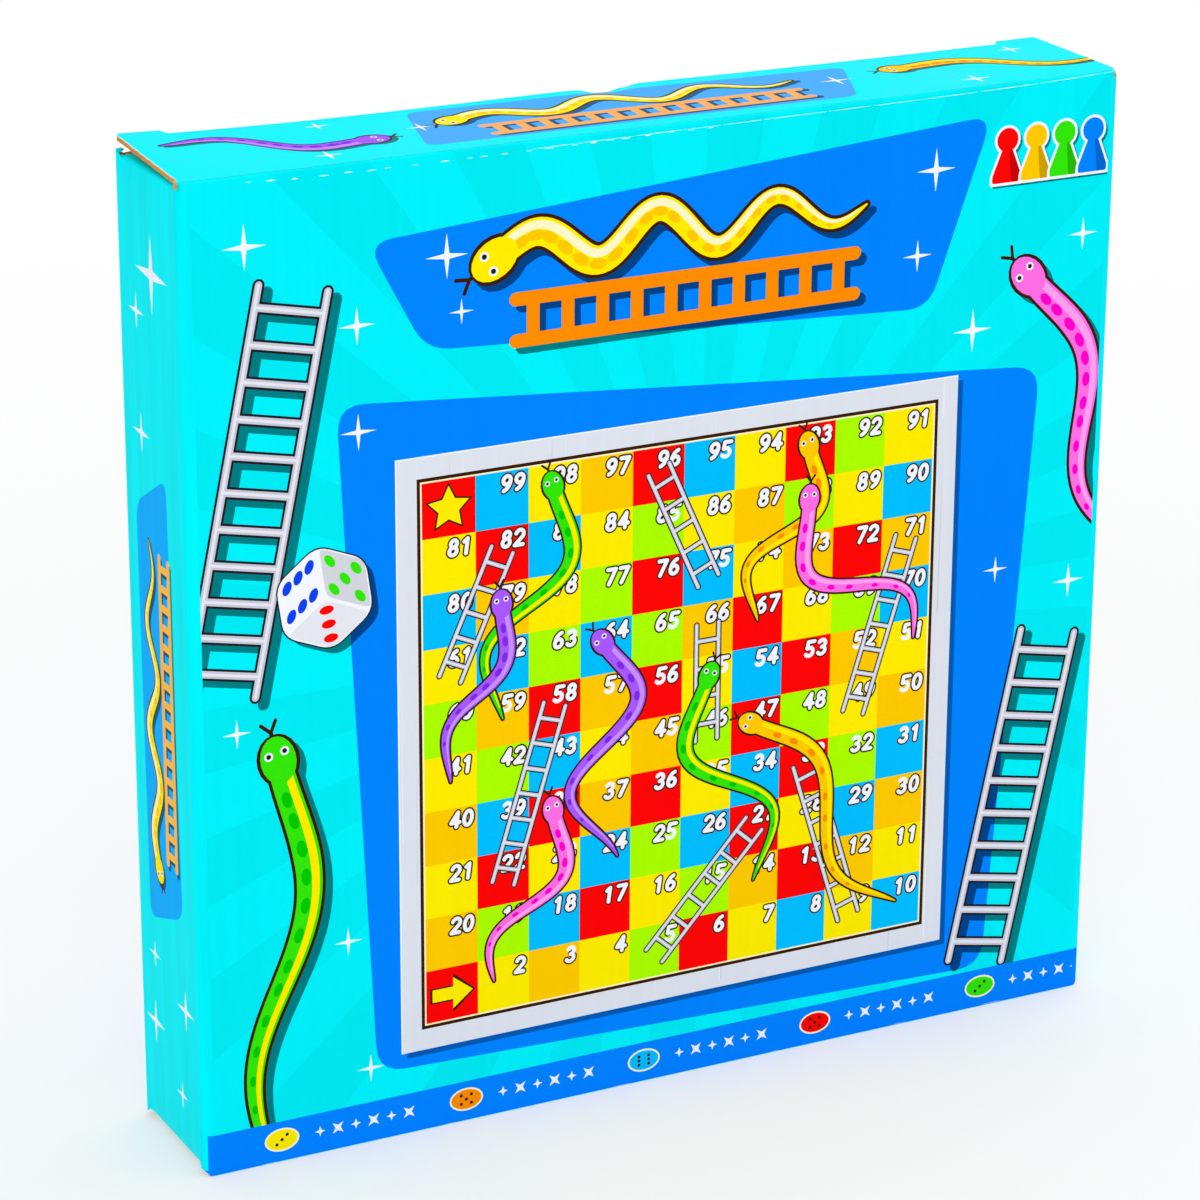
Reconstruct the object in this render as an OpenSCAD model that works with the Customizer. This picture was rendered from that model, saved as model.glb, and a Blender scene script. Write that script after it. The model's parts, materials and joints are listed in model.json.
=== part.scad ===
// Boxed snakes and ladders set: a tuck carton with a framed board, insert and pieces.
// Millimetres. The carton stands on its bottom lid, the front faces -Y, +Z is up.
// The origin is the middle of the rest face.

/* [Carton] */
// Width of the carton, outside
box_w = 272; // [240:1:340]
// Depth of the carton from front to back, outside
box_d = 44; // [40:1:70]
// Height of the carton, outside
box_h = 270; // [240:1:340]
// Thickness of the corrugated board
board_t = 1.5; // [1.2:0.1:1.8]
// Outer radius of the four upright folds
fold_r = 3; // [2.5:0.5:5]
// Distance that the raw edge of the glued seam stays short of the corner
seam_setback = 1; // [0.5:0.5:2]
// Width of the glue flap inside the back panel
glue_w = 24; // [16:1:34]
// Length over which each end of the glue flap is cut at a slant
glue_slant = 10; // [6:1:14]

/* [Closures] */
// Distance of the lock slits from the ends of a lid
slit_inset = 14; // [10:1:20]
// Depth of a tuck flap, measured from the outer face of its lid
tuck_l = 14; // [11:1:15]
// Corner radius of a tuck flap
tuck_corner_r = 8; // [4:1:9]
// Length of a dust flap, measured from its crease
dust_l = 30; // [22:1:31]
// Distance that the front edge of a dust flap slopes back over its length
dust_taper = 15; // [15:1:18]
// Corner radius of a dust flap
dust_corner_r = 5; // [3:1:6]
// Radius of the thumb notch in each end of the back panel
thumb_r = 9; // [6:1:14]
// Angle that a lid swings open, in degrees
lid_swing = 120; // [90:5:125]
// Degrees that a tuck flap folds in for each degree that its lid opens
tuck_ratio = 0.4; // [0.4:0.05:0.5]

/* [Game board] */
// Width of a frame rail, seen from the front
rail_w = 12; // [8:1:18]
// Depth of a frame rail
rail_d = 11; // [9:0.5:13]
// Width of the bevel along the inner front edge of a rail
rail_bevel = 1.5; // [0.5:0.5:2.5]
// Depth of the playfield below the front of the rails
field_drop = 3; // [2.5:0.5:4]
// Thickness of the printed playfield sheet
sheet_t = 0.5; // [0.3:0.1:0.8]
// Thickness of the backing panel behind the sheet
backing_t = 3; // [2:0.5:4]

/* [Insert] */
// Width of the well that holds the playing pieces
well_w = 124; // [110:1:180]
// Height of the well
well_h = 34; // [31:1:60]
// Depth of the well behind the platform
well_d = 20; // [19:0.5:22]
// Height of the well's shelf above the middle of the insert
well_lift = 0; // [-60:1:60]

/* [Playing pieces] */
// Edge length of the die
die_s = 16; // [12:0.5:16]
// Diameter of the ball that rounds off the corners of the die
die_ball_d = 22.5; // [21:0.5:24]
// Diameter of a pip
pip_d = 2.6; // [2:0.1:3]
// Depth of a pip
pip_sink = 0.5; // [0.3:0.1:0.8]
// Distance from the middle pip to the pips around it
pip_pitch = 4; // [3.2:0.1:4]
// Height of a pawn
pawn_h = 26; // [22:0.5:28]
// Diameter of a pawn's base
pawn_base_d = 14; // [12:0.5:16]
// Height of a pawn's base rim
pawn_rim_h = 2.5; // [1.5:0.5:3]
// Diameter of a pawn's neck
pawn_neck_d = 5.5; // [4.5:0.5:7]
// Diameter of a pawn's head
pawn_head_d = 10; // [9:0.5:12]
// Distance between neighbouring pieces, middle to middle
piece_pitch = 22; // [20:0.5:23]

/* [Leaflet] */
// Width of the folded leaflet
leaflet_w = 148; // [120:1:200]
// Height of the folded leaflet
leaflet_h = 210; // [140:1:220]
// Thickness of the folded leaflet
leaflet_t = 1; // [0.6:0.1:1.2]

/* [Clearances] */
// Radial gap between a crease bead and the flap that turns on it
crease_gap = 0.05; // [0.03:0.01:0.1]
// Gap between a closed lid and what it lies over
lid_gap = 0.3; // [0.2:0.1:0.5]
// Gap between a tuck flap and the back panel
tuck_gap = 0.9; // [0.9:0.1:1.2]
// Gap between the ends of a flap and the parts beside it
flap_side_gap = 0.5; // [0.3:0.1:1]
// Gap between a lid's ears and its tuck flap
slit_gap = 0.4; // [0.2:0.1:0.8]
// Gap between a dust flap and the tuck flap behind it
dust_back_gap = 1; // [0.9:0.1:1.6]
// Gap between what stands in the carton and what carries it
seat_gap = 0.2; // [0.1:0.1:0.4]
// Gap between the contents and the flaps above them
head_gap = 0.4; // [0.3:0.1:1]
// Gap between the board's frame and the side panels
board_side_gap = 3.1; // [0.5:0.1:6]
// Gap between the insert and the side panels
insert_side_gap = 0.5; // [0.3:0.1:1]
// Gap between the insert's legs and the tuck flaps behind them
leg_back_gap = 1; // [0.9:0.1:1.5]

/* [Hidden] */

// Faces on a full circle
$fn = 48;
// Length by which a cut runs past what it cuts
overrun = 1;

print_cyan = [0, 0.85, 0.93];
kraft_brown = [0.72, 0.52, 0.32];
pale_wood = [0.86, 0.86, 0.89];
die_white = [0.95, 0.95, 0.95];

half_w = box_w / 2;
half_d = box_d / 2;
bead_r = board_t / 2;
relief_r = bead_r + crease_gap;

// Lid crease, and the edges of the walls that the lids lie over
lid_pivot_y = -half_d + bead_r;
lid_pivot_z = box_h - bead_r;
wall_top_z = box_h - board_t - lid_gap;
wall_low_z = board_t + lid_gap;

// Tuck crease at the back of a lid
tuck_outer_y = half_d - board_t - tuck_gap;
tuck_inner_y = tuck_outer_y - board_t;
tuck_pivot_y = tuck_outer_y - bead_r;
tuck_half_w = half_w - slit_inset - slit_gap;
mitre_spare = 4;
mitre_angle = lid_swing * tuck_ratio + mitre_spare;

// Dust flap crease at the end of a side panel
flap_pivot_x = half_w - bead_r;
flap_pivot_z = wall_top_z - bead_r;
flap_front_y = -half_d + fold_r + flap_side_gap;
flap_back_y = tuck_inner_y - dust_back_gap;
seam_corner_y = half_d - board_t - fold_r;

// Space for the contents
front_inner_y = -half_d + board_t;
back_inner_y = half_d - board_t;
side_inner_x = half_w - board_t;
inside_low_z = wall_low_z + board_t + seat_gap;
inside_top_z = wall_top_z - board_t - head_gap;
inside_h = inside_top_z - inside_low_z;
insert_half_w = side_inner_x - insert_side_gap;

leaflet_y = front_inner_y + seat_gap;
board_w = 2 * (side_inner_x - board_side_gap);
board_y = leaflet_y + leaflet_t + seat_gap;
field_w = board_w - 2 * rail_w;
field_h = inside_h - 2 * rail_w;

platform_y = board_y + rail_d;
leg_start_y = platform_y + board_t;
leg_end_y = tuck_inner_y - leg_back_gap;
shelf_z = inside_low_z + inside_h / 2 + well_lift;
well_back_y = leg_start_y + well_d;
piece_y = leg_start_y + well_d / 2;
glue_margin_z = tuck_l + board_t;

// Extrudes an outline drawn in Y and Z along X, about the middle
module along_x(length) {
    rotate([90, 0, 90]) linear_extrude(length, center = true) children();
}

// Extrudes an outline drawn in X and Z along Y, from near_y towards the back
module along_y(near_y, depth) {
    translate([0, near_y + depth, 0]) rotate([90, 0, 0]) linear_extrude(depth) children();
}

// Carries a shape from the top of the carton to its bottom
module to_bottom() {
    translate([0, 0, box_h]) mirror([0, 0, 1]) children();
}

module block(low, high) {
    translate(low) cube(high - low);
}

// Rectangle from [0, -half_h] to [length, half_h] with its two far corners rounded
module tongue(length, half_h, r) {
    translate([0, -half_h]) square([length - r, 2 * half_h]);
    translate([0, -half_h + r]) square([length, 2 * (half_h - r)]);
    for (side = [-1, 1]) translate([length - r, side * (half_h - r)]) intersection() {
        circle(r);
        translate([0, -r]) square([r, 2 * r]);
    }
}

// Section of an upright fold: a quarter ring that bulges towards -X and -Y
module fold_section() {
    intersection() {
        difference() {
            circle(fold_r);
            circle(fold_r - board_t);
        }
        translate([-fold_r, -fold_r]) square(fold_r);
    }
}

// Ridge of a lid's crease along the upper edge of the front panel
module lid_crease() {
    block([-half_w, -half_d, wall_top_z], [half_w, front_inner_y, lid_pivot_z]);
    translate([0, lid_pivot_y, lid_pivot_z]) rotate([0, 90, 0]) cylinder(box_w, r = bead_r, center = true);
}

module front_panel() {
    color(print_cyan) {
        block([-half_w + fold_r, -half_d, wall_low_z], [half_w - fold_r, front_inner_y, wall_top_z]);
        lid_crease();
        to_bottom() lid_crease();
    }
}

// Left side panel whose rear corner is folded about back_corner_y
module side_panel(back_corner_y) {
    front_corner_y = -half_d + fold_r;
    wall_h = wall_top_z - wall_low_z;
    translate([-half_w + fold_r, front_corner_y, wall_low_z]) linear_extrude(wall_h) fold_section();
    translate([-half_w + fold_r, back_corner_y, wall_low_z]) linear_extrude(wall_h)
        mirror([0, 1]) fold_section();
    block(
        [-half_w, front_corner_y, box_h - flap_pivot_z],
        [-side_inner_x, back_corner_y, flap_pivot_z]
    );
    for (z = [flap_pivot_z, box_h - flap_pivot_z])
        translate([-flap_pivot_x, front_corner_y, z]) rotate([-90, 0, 0])
            cylinder(back_corner_y - front_corner_y, r = bead_r);
}

module left_side_panel() {
    color(print_cyan) side_panel(half_d - fold_r);
}

module right_side_panel() {
    color(print_cyan) mirror([1, 0, 0]) side_panel(seam_corner_y);
}

// The back panel ends in a raw edge at the seam on its right, seen from the front
module back_panel() {
    color(print_cyan) difference() {
        block([-half_w + fold_r, back_inner_y, wall_low_z], [half_w - seam_setback, half_d, wall_top_z]);
        for (z = [wall_low_z, wall_top_z])
            translate([0, back_inner_y - overrun, z]) rotate([-90, 0, 0])
                cylinder(board_t + 2 * overrun, r = thumb_r);
    }
}

module glue_flap() {
    root_x = half_w - fold_r;
    low_z = wall_low_z + glue_margin_z;
    top_z = wall_top_z - glue_margin_z;
    color(kraft_brown) along_y(back_inner_y - board_t, board_t) polygon([
        [root_x, low_z], [root_x, top_z],
        [root_x - glue_w, top_z - glue_slant], [root_x - glue_w, low_z + glue_slant]
    ]);
}

// Outline of a lid from above; the ears beside the tuck flap reach the back face
module lid_outline() {
    slit_x = half_w - slit_inset;
    polygon([
        [-half_w, lid_pivot_y], [half_w, lid_pivot_y],
        [half_w, half_d], [slit_x + board_t, half_d], [slit_x, tuck_pivot_y],
        [-slit_x, tuck_pivot_y], [-slit_x - board_t, half_d], [-half_w, half_d]
    ]);
}

module lid() {
    difference() {
        translate([0, 0, box_h - board_t]) linear_extrude(board_t) lid_outline();
        translate([0, lid_pivot_y, lid_pivot_z]) along_x(box_w + 2 * overrun) {
            circle(relief_r);
            translate([-overrun, -board_t]) square([relief_r + overrun, board_t]);
        }
    }
    translate([0, tuck_pivot_y, lid_pivot_z]) rotate([0, 90, 0])
        cylinder(2 * tuck_half_w, r = bead_r, center = true);
}

module top_lid() {
    color(print_cyan) lid();
}

module bottom_lid() {
    color(print_cyan) to_bottom() lid();
}

// The root of a tuck flap is mitred, so that it clears the lid when it folds in
module tuck_flap() {
    difference() {
        along_y(tuck_inner_y, board_t) translate([0, lid_pivot_z]) rotate(-90)
            tongue(tuck_l - bead_r, tuck_half_w, tuck_corner_r);
        translate([0, tuck_pivot_y, lid_pivot_z]) along_x(box_w) {
            circle(relief_r);
            for (turn = [0, mitre_angle])
                rotate(turn) translate([-tuck_l, -relief_r]) square([tuck_l, tuck_l]);
        }
    }
}

module top_tuck_flap() {
    color(print_cyan) tuck_flap();
}

module bottom_tuck_flap() {
    color(print_cyan) to_bottom() tuck_flap();
}

// Outline of the left dust flap from above, with its crease along X = 0
module dust_outline() {
    slope = atan2(dust_taper, dust_l);
    difference() {
        translate([0, (flap_front_y + flap_back_y) / 2])
            tongue(dust_l, (flap_back_y - flap_front_y) / 2, dust_corner_r);
        translate([0, flap_front_y]) rotate(slope) translate([0, -box_d]) square([box_w, box_d]);
    }
}

module dust_flap() {
    difference() {
        translate([-flap_pivot_x, 0, wall_top_z - board_t]) linear_extrude(board_t) dust_outline();
        translate([-flap_pivot_x, half_d, flap_pivot_z]) rotate([90, 0, 0])
            linear_extrude(box_d) {
                circle(relief_r);
                translate([-overrun, -board_t]) square([relief_r + overrun, board_t]);
            }
    }
}

module top_left_dust_flap() {
    color(print_cyan) dust_flap();
}

module top_right_dust_flap() {
    color(print_cyan) mirror([1, 0, 0]) dust_flap();
}

module bottom_left_dust_flap() {
    color(print_cyan) to_bottom() dust_flap();
}

module bottom_right_dust_flap() {
    color(print_cyan) to_bottom() mirror([1, 0, 0]) dust_flap();
}

// Rail of the board frame along X with its outer edge at Z = 0, mitred and bevelled
module rail(length) {
    difference() {
        along_y(0, rail_d) polygon([
            [-length / 2, 0], [length / 2, 0],
            [length / 2 - rail_w, rail_w], [-length / 2 + rail_w, rail_w]
        ]);
        translate([0, 0, rail_w]) along_x(length) polygon([
            [-overrun, overrun], [-overrun, -rail_bevel - overrun], [rail_bevel + overrun, overrun]
        ]);
    }
}

// Lays a rail along an edge of the board, reach away from its middle
module board_rail(turn, length, reach) {
    color(pale_wood) translate([0, board_y, inside_low_z + inside_h / 2])
        rotate([0, turn, 0]) translate([0, 0, -reach]) rail(length);
}

module board_bottom_rail() {
    board_rail(0, board_w, inside_h / 2);
}

module board_left_rail() {
    board_rail(90, inside_h, board_w / 2);
}

module board_top_rail() {
    board_rail(180, board_w, inside_h / 2);
}

module board_right_rail() {
    board_rail(270, inside_h, board_w / 2);
}

// Plate inside the frame, from near_y to near_y + depth
module field_plate(near_y, depth) {
    low_z = inside_low_z + rail_w;
    block([-field_w / 2, near_y, low_z], [field_w / 2, near_y + depth, low_z + field_h]);
}

module playfield_sheet() {
    color("gold") field_plate(board_y + field_drop, sheet_t);
}

module board_backing() {
    color(kraft_brown) field_plate(board_y + field_drop + sheet_t, backing_t);
}

module insert_platform() {
    color(kraft_brown) difference() {
        block([-insert_half_w, platform_y, inside_low_z], [insert_half_w, leg_start_y, inside_top_z]);
        block(
            [-well_w / 2, platform_y - overrun, shelf_z],
            [well_w / 2, leg_start_y + overrun, shelf_z + well_h]
        );
    }
}

// Leg folded back from the lower edge of the platform
module insert_bottom_leg() {
    color(kraft_brown)
        block([-insert_half_w, leg_start_y, inside_low_z], [insert_half_w, leg_end_y, inside_low_z + board_t]);
}

module insert_top_leg() {
    color(kraft_brown)
        block([-insert_half_w, leg_start_y, inside_top_z - board_t], [insert_half_w, leg_end_y, inside_top_z]);
}

module upright_leg() {
    block(
        [-insert_half_w, leg_start_y, inside_low_z + board_t],
        [-insert_half_w + board_t, leg_end_y, inside_top_z - board_t]
    );
}

module insert_left_leg() {
    color(kraft_brown) upright_leg();
}

module insert_right_leg() {
    color(kraft_brown) mirror([1, 0, 0]) upright_leg();
}

// The well's walls stand outside the window in the platform
module well_shelf() {
    color(kraft_brown)
        block([-well_w / 2, leg_start_y, shelf_z - board_t], [well_w / 2, well_back_y, shelf_z]);
}

module well_roof() {
    roof_z = shelf_z + well_h;
    color(kraft_brown) block([-well_w / 2, leg_start_y, roof_z], [well_w / 2, well_back_y, roof_z + board_t]);
}

module well_end() {
    block(
        [-well_w / 2 - board_t, leg_start_y, shelf_z - board_t],
        [-well_w / 2, well_back_y, shelf_z + well_h + board_t]
    );
}

module well_left_wall() {
    color(kraft_brown) well_end();
}

module well_right_wall() {
    color(kraft_brown) mirror([1, 0, 0]) well_end();
}

module well_back_wall() {
    color(kraft_brown) block(
        [-well_w / 2 - board_t, well_back_y, shelf_z - board_t],
        [well_w / 2 + board_t, well_back_y + board_t, shelf_z + well_h + board_t]
    );
}

// Places of the pips on a face, in steps of the pitch from its middle
function pip_steps(count) = concat(
    count % 2 == 1 ? [[0, 0]] : [],
    count > 1 ? [[-1, -1], [1, 1]] : [],
    count > 3 ? [[-1, 1], [1, -1]] : [],
    count > 5 ? [[-1, 0], [1, 0]] : []
);

// Pips of one face of the die, sunk into the face at the top
module pips(count) {
    for (step = pip_steps(count))
        translate([step[0] * pip_pitch, step[1] * pip_pitch, die_s / 2 - pip_sink])
            cylinder(pip_sink + overrun, d = pip_d);
}

// Opposite faces of the die add up to seven
module die() {
    color(die_white) translate([-2 * piece_pitch, piece_y, shelf_z + seat_gap + die_s / 2])
        difference() {
            intersection() {
                cube(die_s, center = true);
                sphere(d = die_ball_d);
            }
            pips(1);
            rotate([180, 0, 0]) pips(6);
            rotate([90, 0, 0]) pips(2);
            rotate([-90, 0, 0]) pips(5);
            rotate([0, 90, 0]) pips(3);
            rotate([0, -90, 0]) pips(4);
        }
}

// Pawn in the given place of the row, counted from the middle
module pawn(place) {
    head_z = pawn_h - pawn_head_d / 2;
    translate([place * piece_pitch, piece_y, shelf_z + seat_gap]) {
        cylinder(pawn_rim_h, d = pawn_base_d);
        translate([0, 0, pawn_rim_h])
            cylinder(head_z - pawn_rim_h, d1 = pawn_base_d - pawn_rim_h, d2 = pawn_neck_d);
        translate([0, 0, head_z]) sphere(d = pawn_head_d);
    }
}

module pawn_red() {
    color("red") pawn(-1);
}

module pawn_blue() {
    color("royalblue") pawn(0);
}

module pawn_yellow() {
    color("gold") pawn(1);
}

module pawn_green() {
    color("limegreen") pawn(2);
}

// Folded leaflet with a round spine on its left, standing on the bottom lid
module rules_leaflet() {
    spine_x = -leaflet_w / 2 + leaflet_t / 2;
    low_z = board_t + seat_gap;
    color("white") {
        block([spine_x, leaflet_y, low_z], [leaflet_w / 2, leaflet_y + leaflet_t, low_z + leaflet_h]);
        translate([spine_x, leaflet_y + leaflet_t / 2, low_z]) cylinder(leaflet_h, d = leaflet_t);
    }
}

front_panel();
left_side_panel();
back_panel();
right_side_panel();
glue_flap();
top_lid();
top_tuck_flap();
top_left_dust_flap();
top_right_dust_flap();
bottom_lid();
bottom_tuck_flap();
bottom_left_dust_flap();
bottom_right_dust_flap();
board_left_rail();
board_right_rail();
board_top_rail();
board_bottom_rail();
board_backing();
playfield_sheet();
insert_platform();
insert_top_leg();
insert_bottom_leg();
insert_left_leg();
insert_right_leg();
well_shelf();
well_roof();
well_left_wall();
well_right_wall();
well_back_wall();
die();
pawn_red();
pawn_blue();
pawn_yellow();
pawn_green();
rules_leaflet();
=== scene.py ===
"""Looks of the boxed snakes and ladders set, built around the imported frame.

Blender works in metres. Board and prints are laid out in millimetres, then scaled by MM.
Each printed panel is cut into triangles that carry the ink of the shape on top.
"""
import json
import math
import random

import bpy
import numpy as np
from mathutils import Matrix, Vector
from mathutils.geometry import delaunay_2d_cdt


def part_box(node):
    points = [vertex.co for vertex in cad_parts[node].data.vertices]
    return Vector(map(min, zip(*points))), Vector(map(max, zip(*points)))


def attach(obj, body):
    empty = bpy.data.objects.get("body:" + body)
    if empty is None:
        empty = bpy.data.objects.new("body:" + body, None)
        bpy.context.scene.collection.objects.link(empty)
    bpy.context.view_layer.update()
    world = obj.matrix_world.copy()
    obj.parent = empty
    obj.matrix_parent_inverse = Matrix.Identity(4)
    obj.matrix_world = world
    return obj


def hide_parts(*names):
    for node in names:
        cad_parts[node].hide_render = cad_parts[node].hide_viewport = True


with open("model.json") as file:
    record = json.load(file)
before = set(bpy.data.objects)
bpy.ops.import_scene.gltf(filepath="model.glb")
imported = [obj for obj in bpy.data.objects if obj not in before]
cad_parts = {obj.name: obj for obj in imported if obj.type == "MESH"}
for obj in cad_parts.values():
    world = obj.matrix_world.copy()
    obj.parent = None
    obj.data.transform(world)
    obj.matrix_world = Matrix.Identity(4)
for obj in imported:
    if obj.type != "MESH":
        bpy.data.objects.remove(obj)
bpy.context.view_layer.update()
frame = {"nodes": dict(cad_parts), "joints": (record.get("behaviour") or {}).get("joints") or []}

MM = 0.001
IMAGE_PX = 1200


# Sizes read from the frame, in millimetres
def box_mm(node):
    low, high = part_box(node)
    return low / MM, high / MM


def pivot_mm(joint):
    return Vector(next(j for j in frame["joints"] if j["name"] == joint)["pos_m"]) / MM


HALF_W, _, BOX_H = box_mm("front_panel")[1]
SIDE_LOW, SIDE_HIGH = box_mm("left_side_panel")
BACK_LOW, BACK_HIGH = box_mm("back_panel")
TUCK_LOW, TUCK_HIGH = box_mm("top_tuck_flap")
DUST_LOW, DUST_HIGH = box_mm("top_left_dust_flap")
RIGHT_REAR = box_mm("right_side_panel")[1].y
HALF_D = BACK_HIGH.y
BOARD_T = BACK_HIGH.y - BACK_LOW.y
BEAD_R = BOARD_T / 2
FOLD_R = SIDE_HIGH.x - SIDE_LOW.x
WALL_TOP = BACK_HIGH.z
WALL_LOW = BACK_LOW.z
LID_PIVOT = pivot_mm("top_lid_hinge")
TUCK_PIVOT = pivot_mm("top_tuck_fold")
DUST_PIVOT = pivot_mm("top_left_dust_fold")

# Make-up of the corrugated board
LINER_T = 0.3
MEDIUM_T = 0.18
FLUTE_PITCH = 3.0
FLUTE_STEPS = 8
CREASE_GAP = 0.05
WELD = 0.002

PRINT_SLOT = 0
KRAFT_SLOT = 1


def ink(code):
    """Linear colour from six hexadecimal digits."""
    parts = [int(code[i:i + 2], 16) / 255 for i in (0, 2, 4)]
    return tuple(c / 12.92 if c <= 0.04045 else ((c + 0.055) / 1.055) ** 2.4 for c in parts)


CYAN = ink("00F0FA")
BLUE = ink("0084FF")
# Blue lightened by a painted sheen, which stands in for the glare on the top lid
SHEEN_PAINTED_BLUE = ink("46ACFF")
SIDE_BLUE = ink("00AEFF")
WHITE = ink("F4F6FF")
PAPER = ink("EFEDE6")
DARK = ink("3A1C08")
BLACK = ink("1E1E28")
CREAM = ink("FFF6C8")
FRAME = ink("DEE2EC")
FRAME_LIGHT = ink("ECEFF6")
FRAME_DARK = ink("CDD2DE")
RED = ink("FF0505")
AMBER = ink("FFC900")
YELLOW = ink("FFEB00")
LIME = ink("AAFC00")
SKY = ink("00BEFF")
ORANGE = ink("FF8C00")
# Orange lightened by a painted sheen, which stands in for the glare on the top lid
SHEEN_PAINTED_ORANGE = ink("FFB060")
SIDE_ORANGE = ink("FFBC48")
GREEN = ink("32E60A")
DEEP_BLUE = ink("0A41F0")
STEEL = ink("C8C8D6")
STEEL_LIGHT = ink("E6E6F0")
BROWN = ink("C8862E")
CELL_INKS = (YELLOW, YELLOW, SKY, RED, AMBER, LIME)

# How much of the light is left where a print is shaded
SHADOW = 0.24
SOFT_SHADOW = 0.6
FRAME_SHADOW = 0.44
RAY_SHADE = 0.935

# The drawn field, by square number: (foot, top) and (head, tail, swing, waves, skin)
LADDERS = ((5, 27), (9, 33), (22, 58), (46, 66), (49, 71), (61, 82), (75, 96))
SNAKES = (
    (98, 59, 0.7, 1.0, "green"), (93, 67, 0.6, 1.0, "orange"), (88, 51, -0.8, 0.9, "pink"),
    (64, 24, 0.75, 1.1, "purple"), (55, 14, -0.8, 1.0, "green"), (47, 10, 0.6, 1.0, "orange"),
    (38, 2, 0.6, 0.9, "pink"), (79, 41, 0.4, 1.0, "purple"),
)
SKINS = {
    "green": (GREEN, YELLOW, ink("00C800")),
    "pink": (ink("FF6EE4"), ink("FFA0F0"), ink("FF00CD")),
    "purple": (ink("A858FF"), ink("C890FF"), ink("8228E6")),
    "orange": (AMBER, YELLOW, ORANGE),
}
ARROW = ((-0.38, -0.12), (0.02, -0.12), (0.02, -0.3), (0.4, 0), (0.02, 0.3), (0.02, 0.12), (-0.38, 0.12))
PIP_STEPS = {
    3: ((-1, -1), (0, 0), (1, 1)),
    5: ((-1, -1), (-1, 1), (0, 0), (1, -1), (1, 1)),
    6: ((-1, -1), (-1, 0), (-1, 1), (1, -1), (1, 0), (1, 1)),
}
DIE_FACES = ((DEEP_BLUE, 6, 1.0), (RED, 3, 0.86), (GREEN, 5, 0.72))


# Outlines, counter-clockwise lists of (x, y)
def arc(cx, cy, rx, ry, start, end, steps=10):
    """Points along an ellipse from one angle to another, in degrees."""
    angles = np.radians(np.linspace(start, end, steps + 1))
    return [(cx + rx * math.cos(a), cy + ry * math.sin(a)) for a in angles]


def oval(cx, cy, rx, ry=None, turn=0.0, steps=20):
    ry = rx if ry is None else ry
    c, s = math.cos(turn), math.sin(turn)
    return [(cx + x * c - y * s, cy + x * s + y * c) for x, y in arc(0, 0, rx, ry, 0, 360, steps)[:-1]]


def rectangle(x0, y0, x1, y1):
    return [(x0, y0), (x1, y0), (x1, y1), (x0, y1)]


def rounded(corners, r, steps=5):
    """A polygon with its corners rounded off."""
    out = []
    for i, corner in enumerate(corners):
        here = Vector(corner)
        back = Vector(corners[i - 1]) - here
        ahead = Vector(corners[(i + 1) % len(corners)]) - here
        start = here + back.normalized() * r
        end = here + ahead.normalized() * r
        for t in np.linspace(0, 1, steps + 1):
            out.append(tuple(start * (1 - t) ** 2 + here * 2 * t * (1 - t) + end * t * t))
    return out


def star(cx, cy, r, inner, spikes=4, turn=90.0):
    out = []
    for k in range(2 * spikes):
        reach = r if k % 2 == 0 else r * inner
        a = math.radians(turn + 180 * k / spikes)
        out.append((cx + reach * math.cos(a), cy + reach * math.sin(a)))
    return out


def sides(run):
    """Steps along a path as directions of length 1, and the directions to their left."""
    run = run / np.linalg.norm(run, axis=-1, keepdims=True)
    return run, np.stack([-run[..., 1], run[..., 0]], -1)


def ribbon(path, width, closed=False):
    """(outlines, holes) of a band along a path, with round ends or as a ring."""
    p = np.array(path, float)
    if closed:
        p = p[:-1]
    run, side = sides(np.roll(p, -1, 0) - np.roll(p, 1, 0) if closed else np.gradient(p, axis=0))
    half = np.broadcast_to(np.asarray(width, float) / 2, len(p))[:, None]
    left, right = p + side * half, p - side * half
    if closed:
        middle = p.mean(0)
        spare = np.linalg.norm(left - middle, axis=1).min()
        inside = ((left - middle) * (p - middle)).sum(1).min()
        return [right.tolist()], [left.tolist()] if inside > 0 and spare > 0.05 else []
    caps = [(math.cos(a), math.sin(a)) for a in np.radians([-60, -20, 20, 60])]
    far = [p[-1] + half[-1] * (c * run[-1] + s * side[-1]) for c, s in caps]
    near = [p[0] - half[0] * (c * run[0] + s * side[0]) for c, s in caps]
    return [[*right, *far, *left[::-1], *near]], []


def wavy(start, end, swing, waves, steps=44):
    """A path from start to end that swings to both sides."""
    start = np.array(start, float)
    along = np.array(end, float) - start
    t = np.linspace(0, 1, steps)[:, None]
    sway = swing * np.sin(2 * math.pi * waves * t) * (0.55 + 0.45 * np.sin(math.pi * t))
    return start + t * along + sway * sides(along)[1]


def rails_and_rungs(foot, top, half, rungs, margin=0.0):
    """Ends of a ladder's two rails, then of its rungs."""
    foot, top = np.array(foot, float), np.array(top, float)
    side = sides(top - foot)[1] * half
    middles = [foot + (top - foot) * (k + 0.5 + margin) / (rungs + 2 * margin) for k in range(rungs)]
    return [(foot + side, top + side), (foot - side, top - side)] + [(m - side, m + side) for m in middles]


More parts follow.
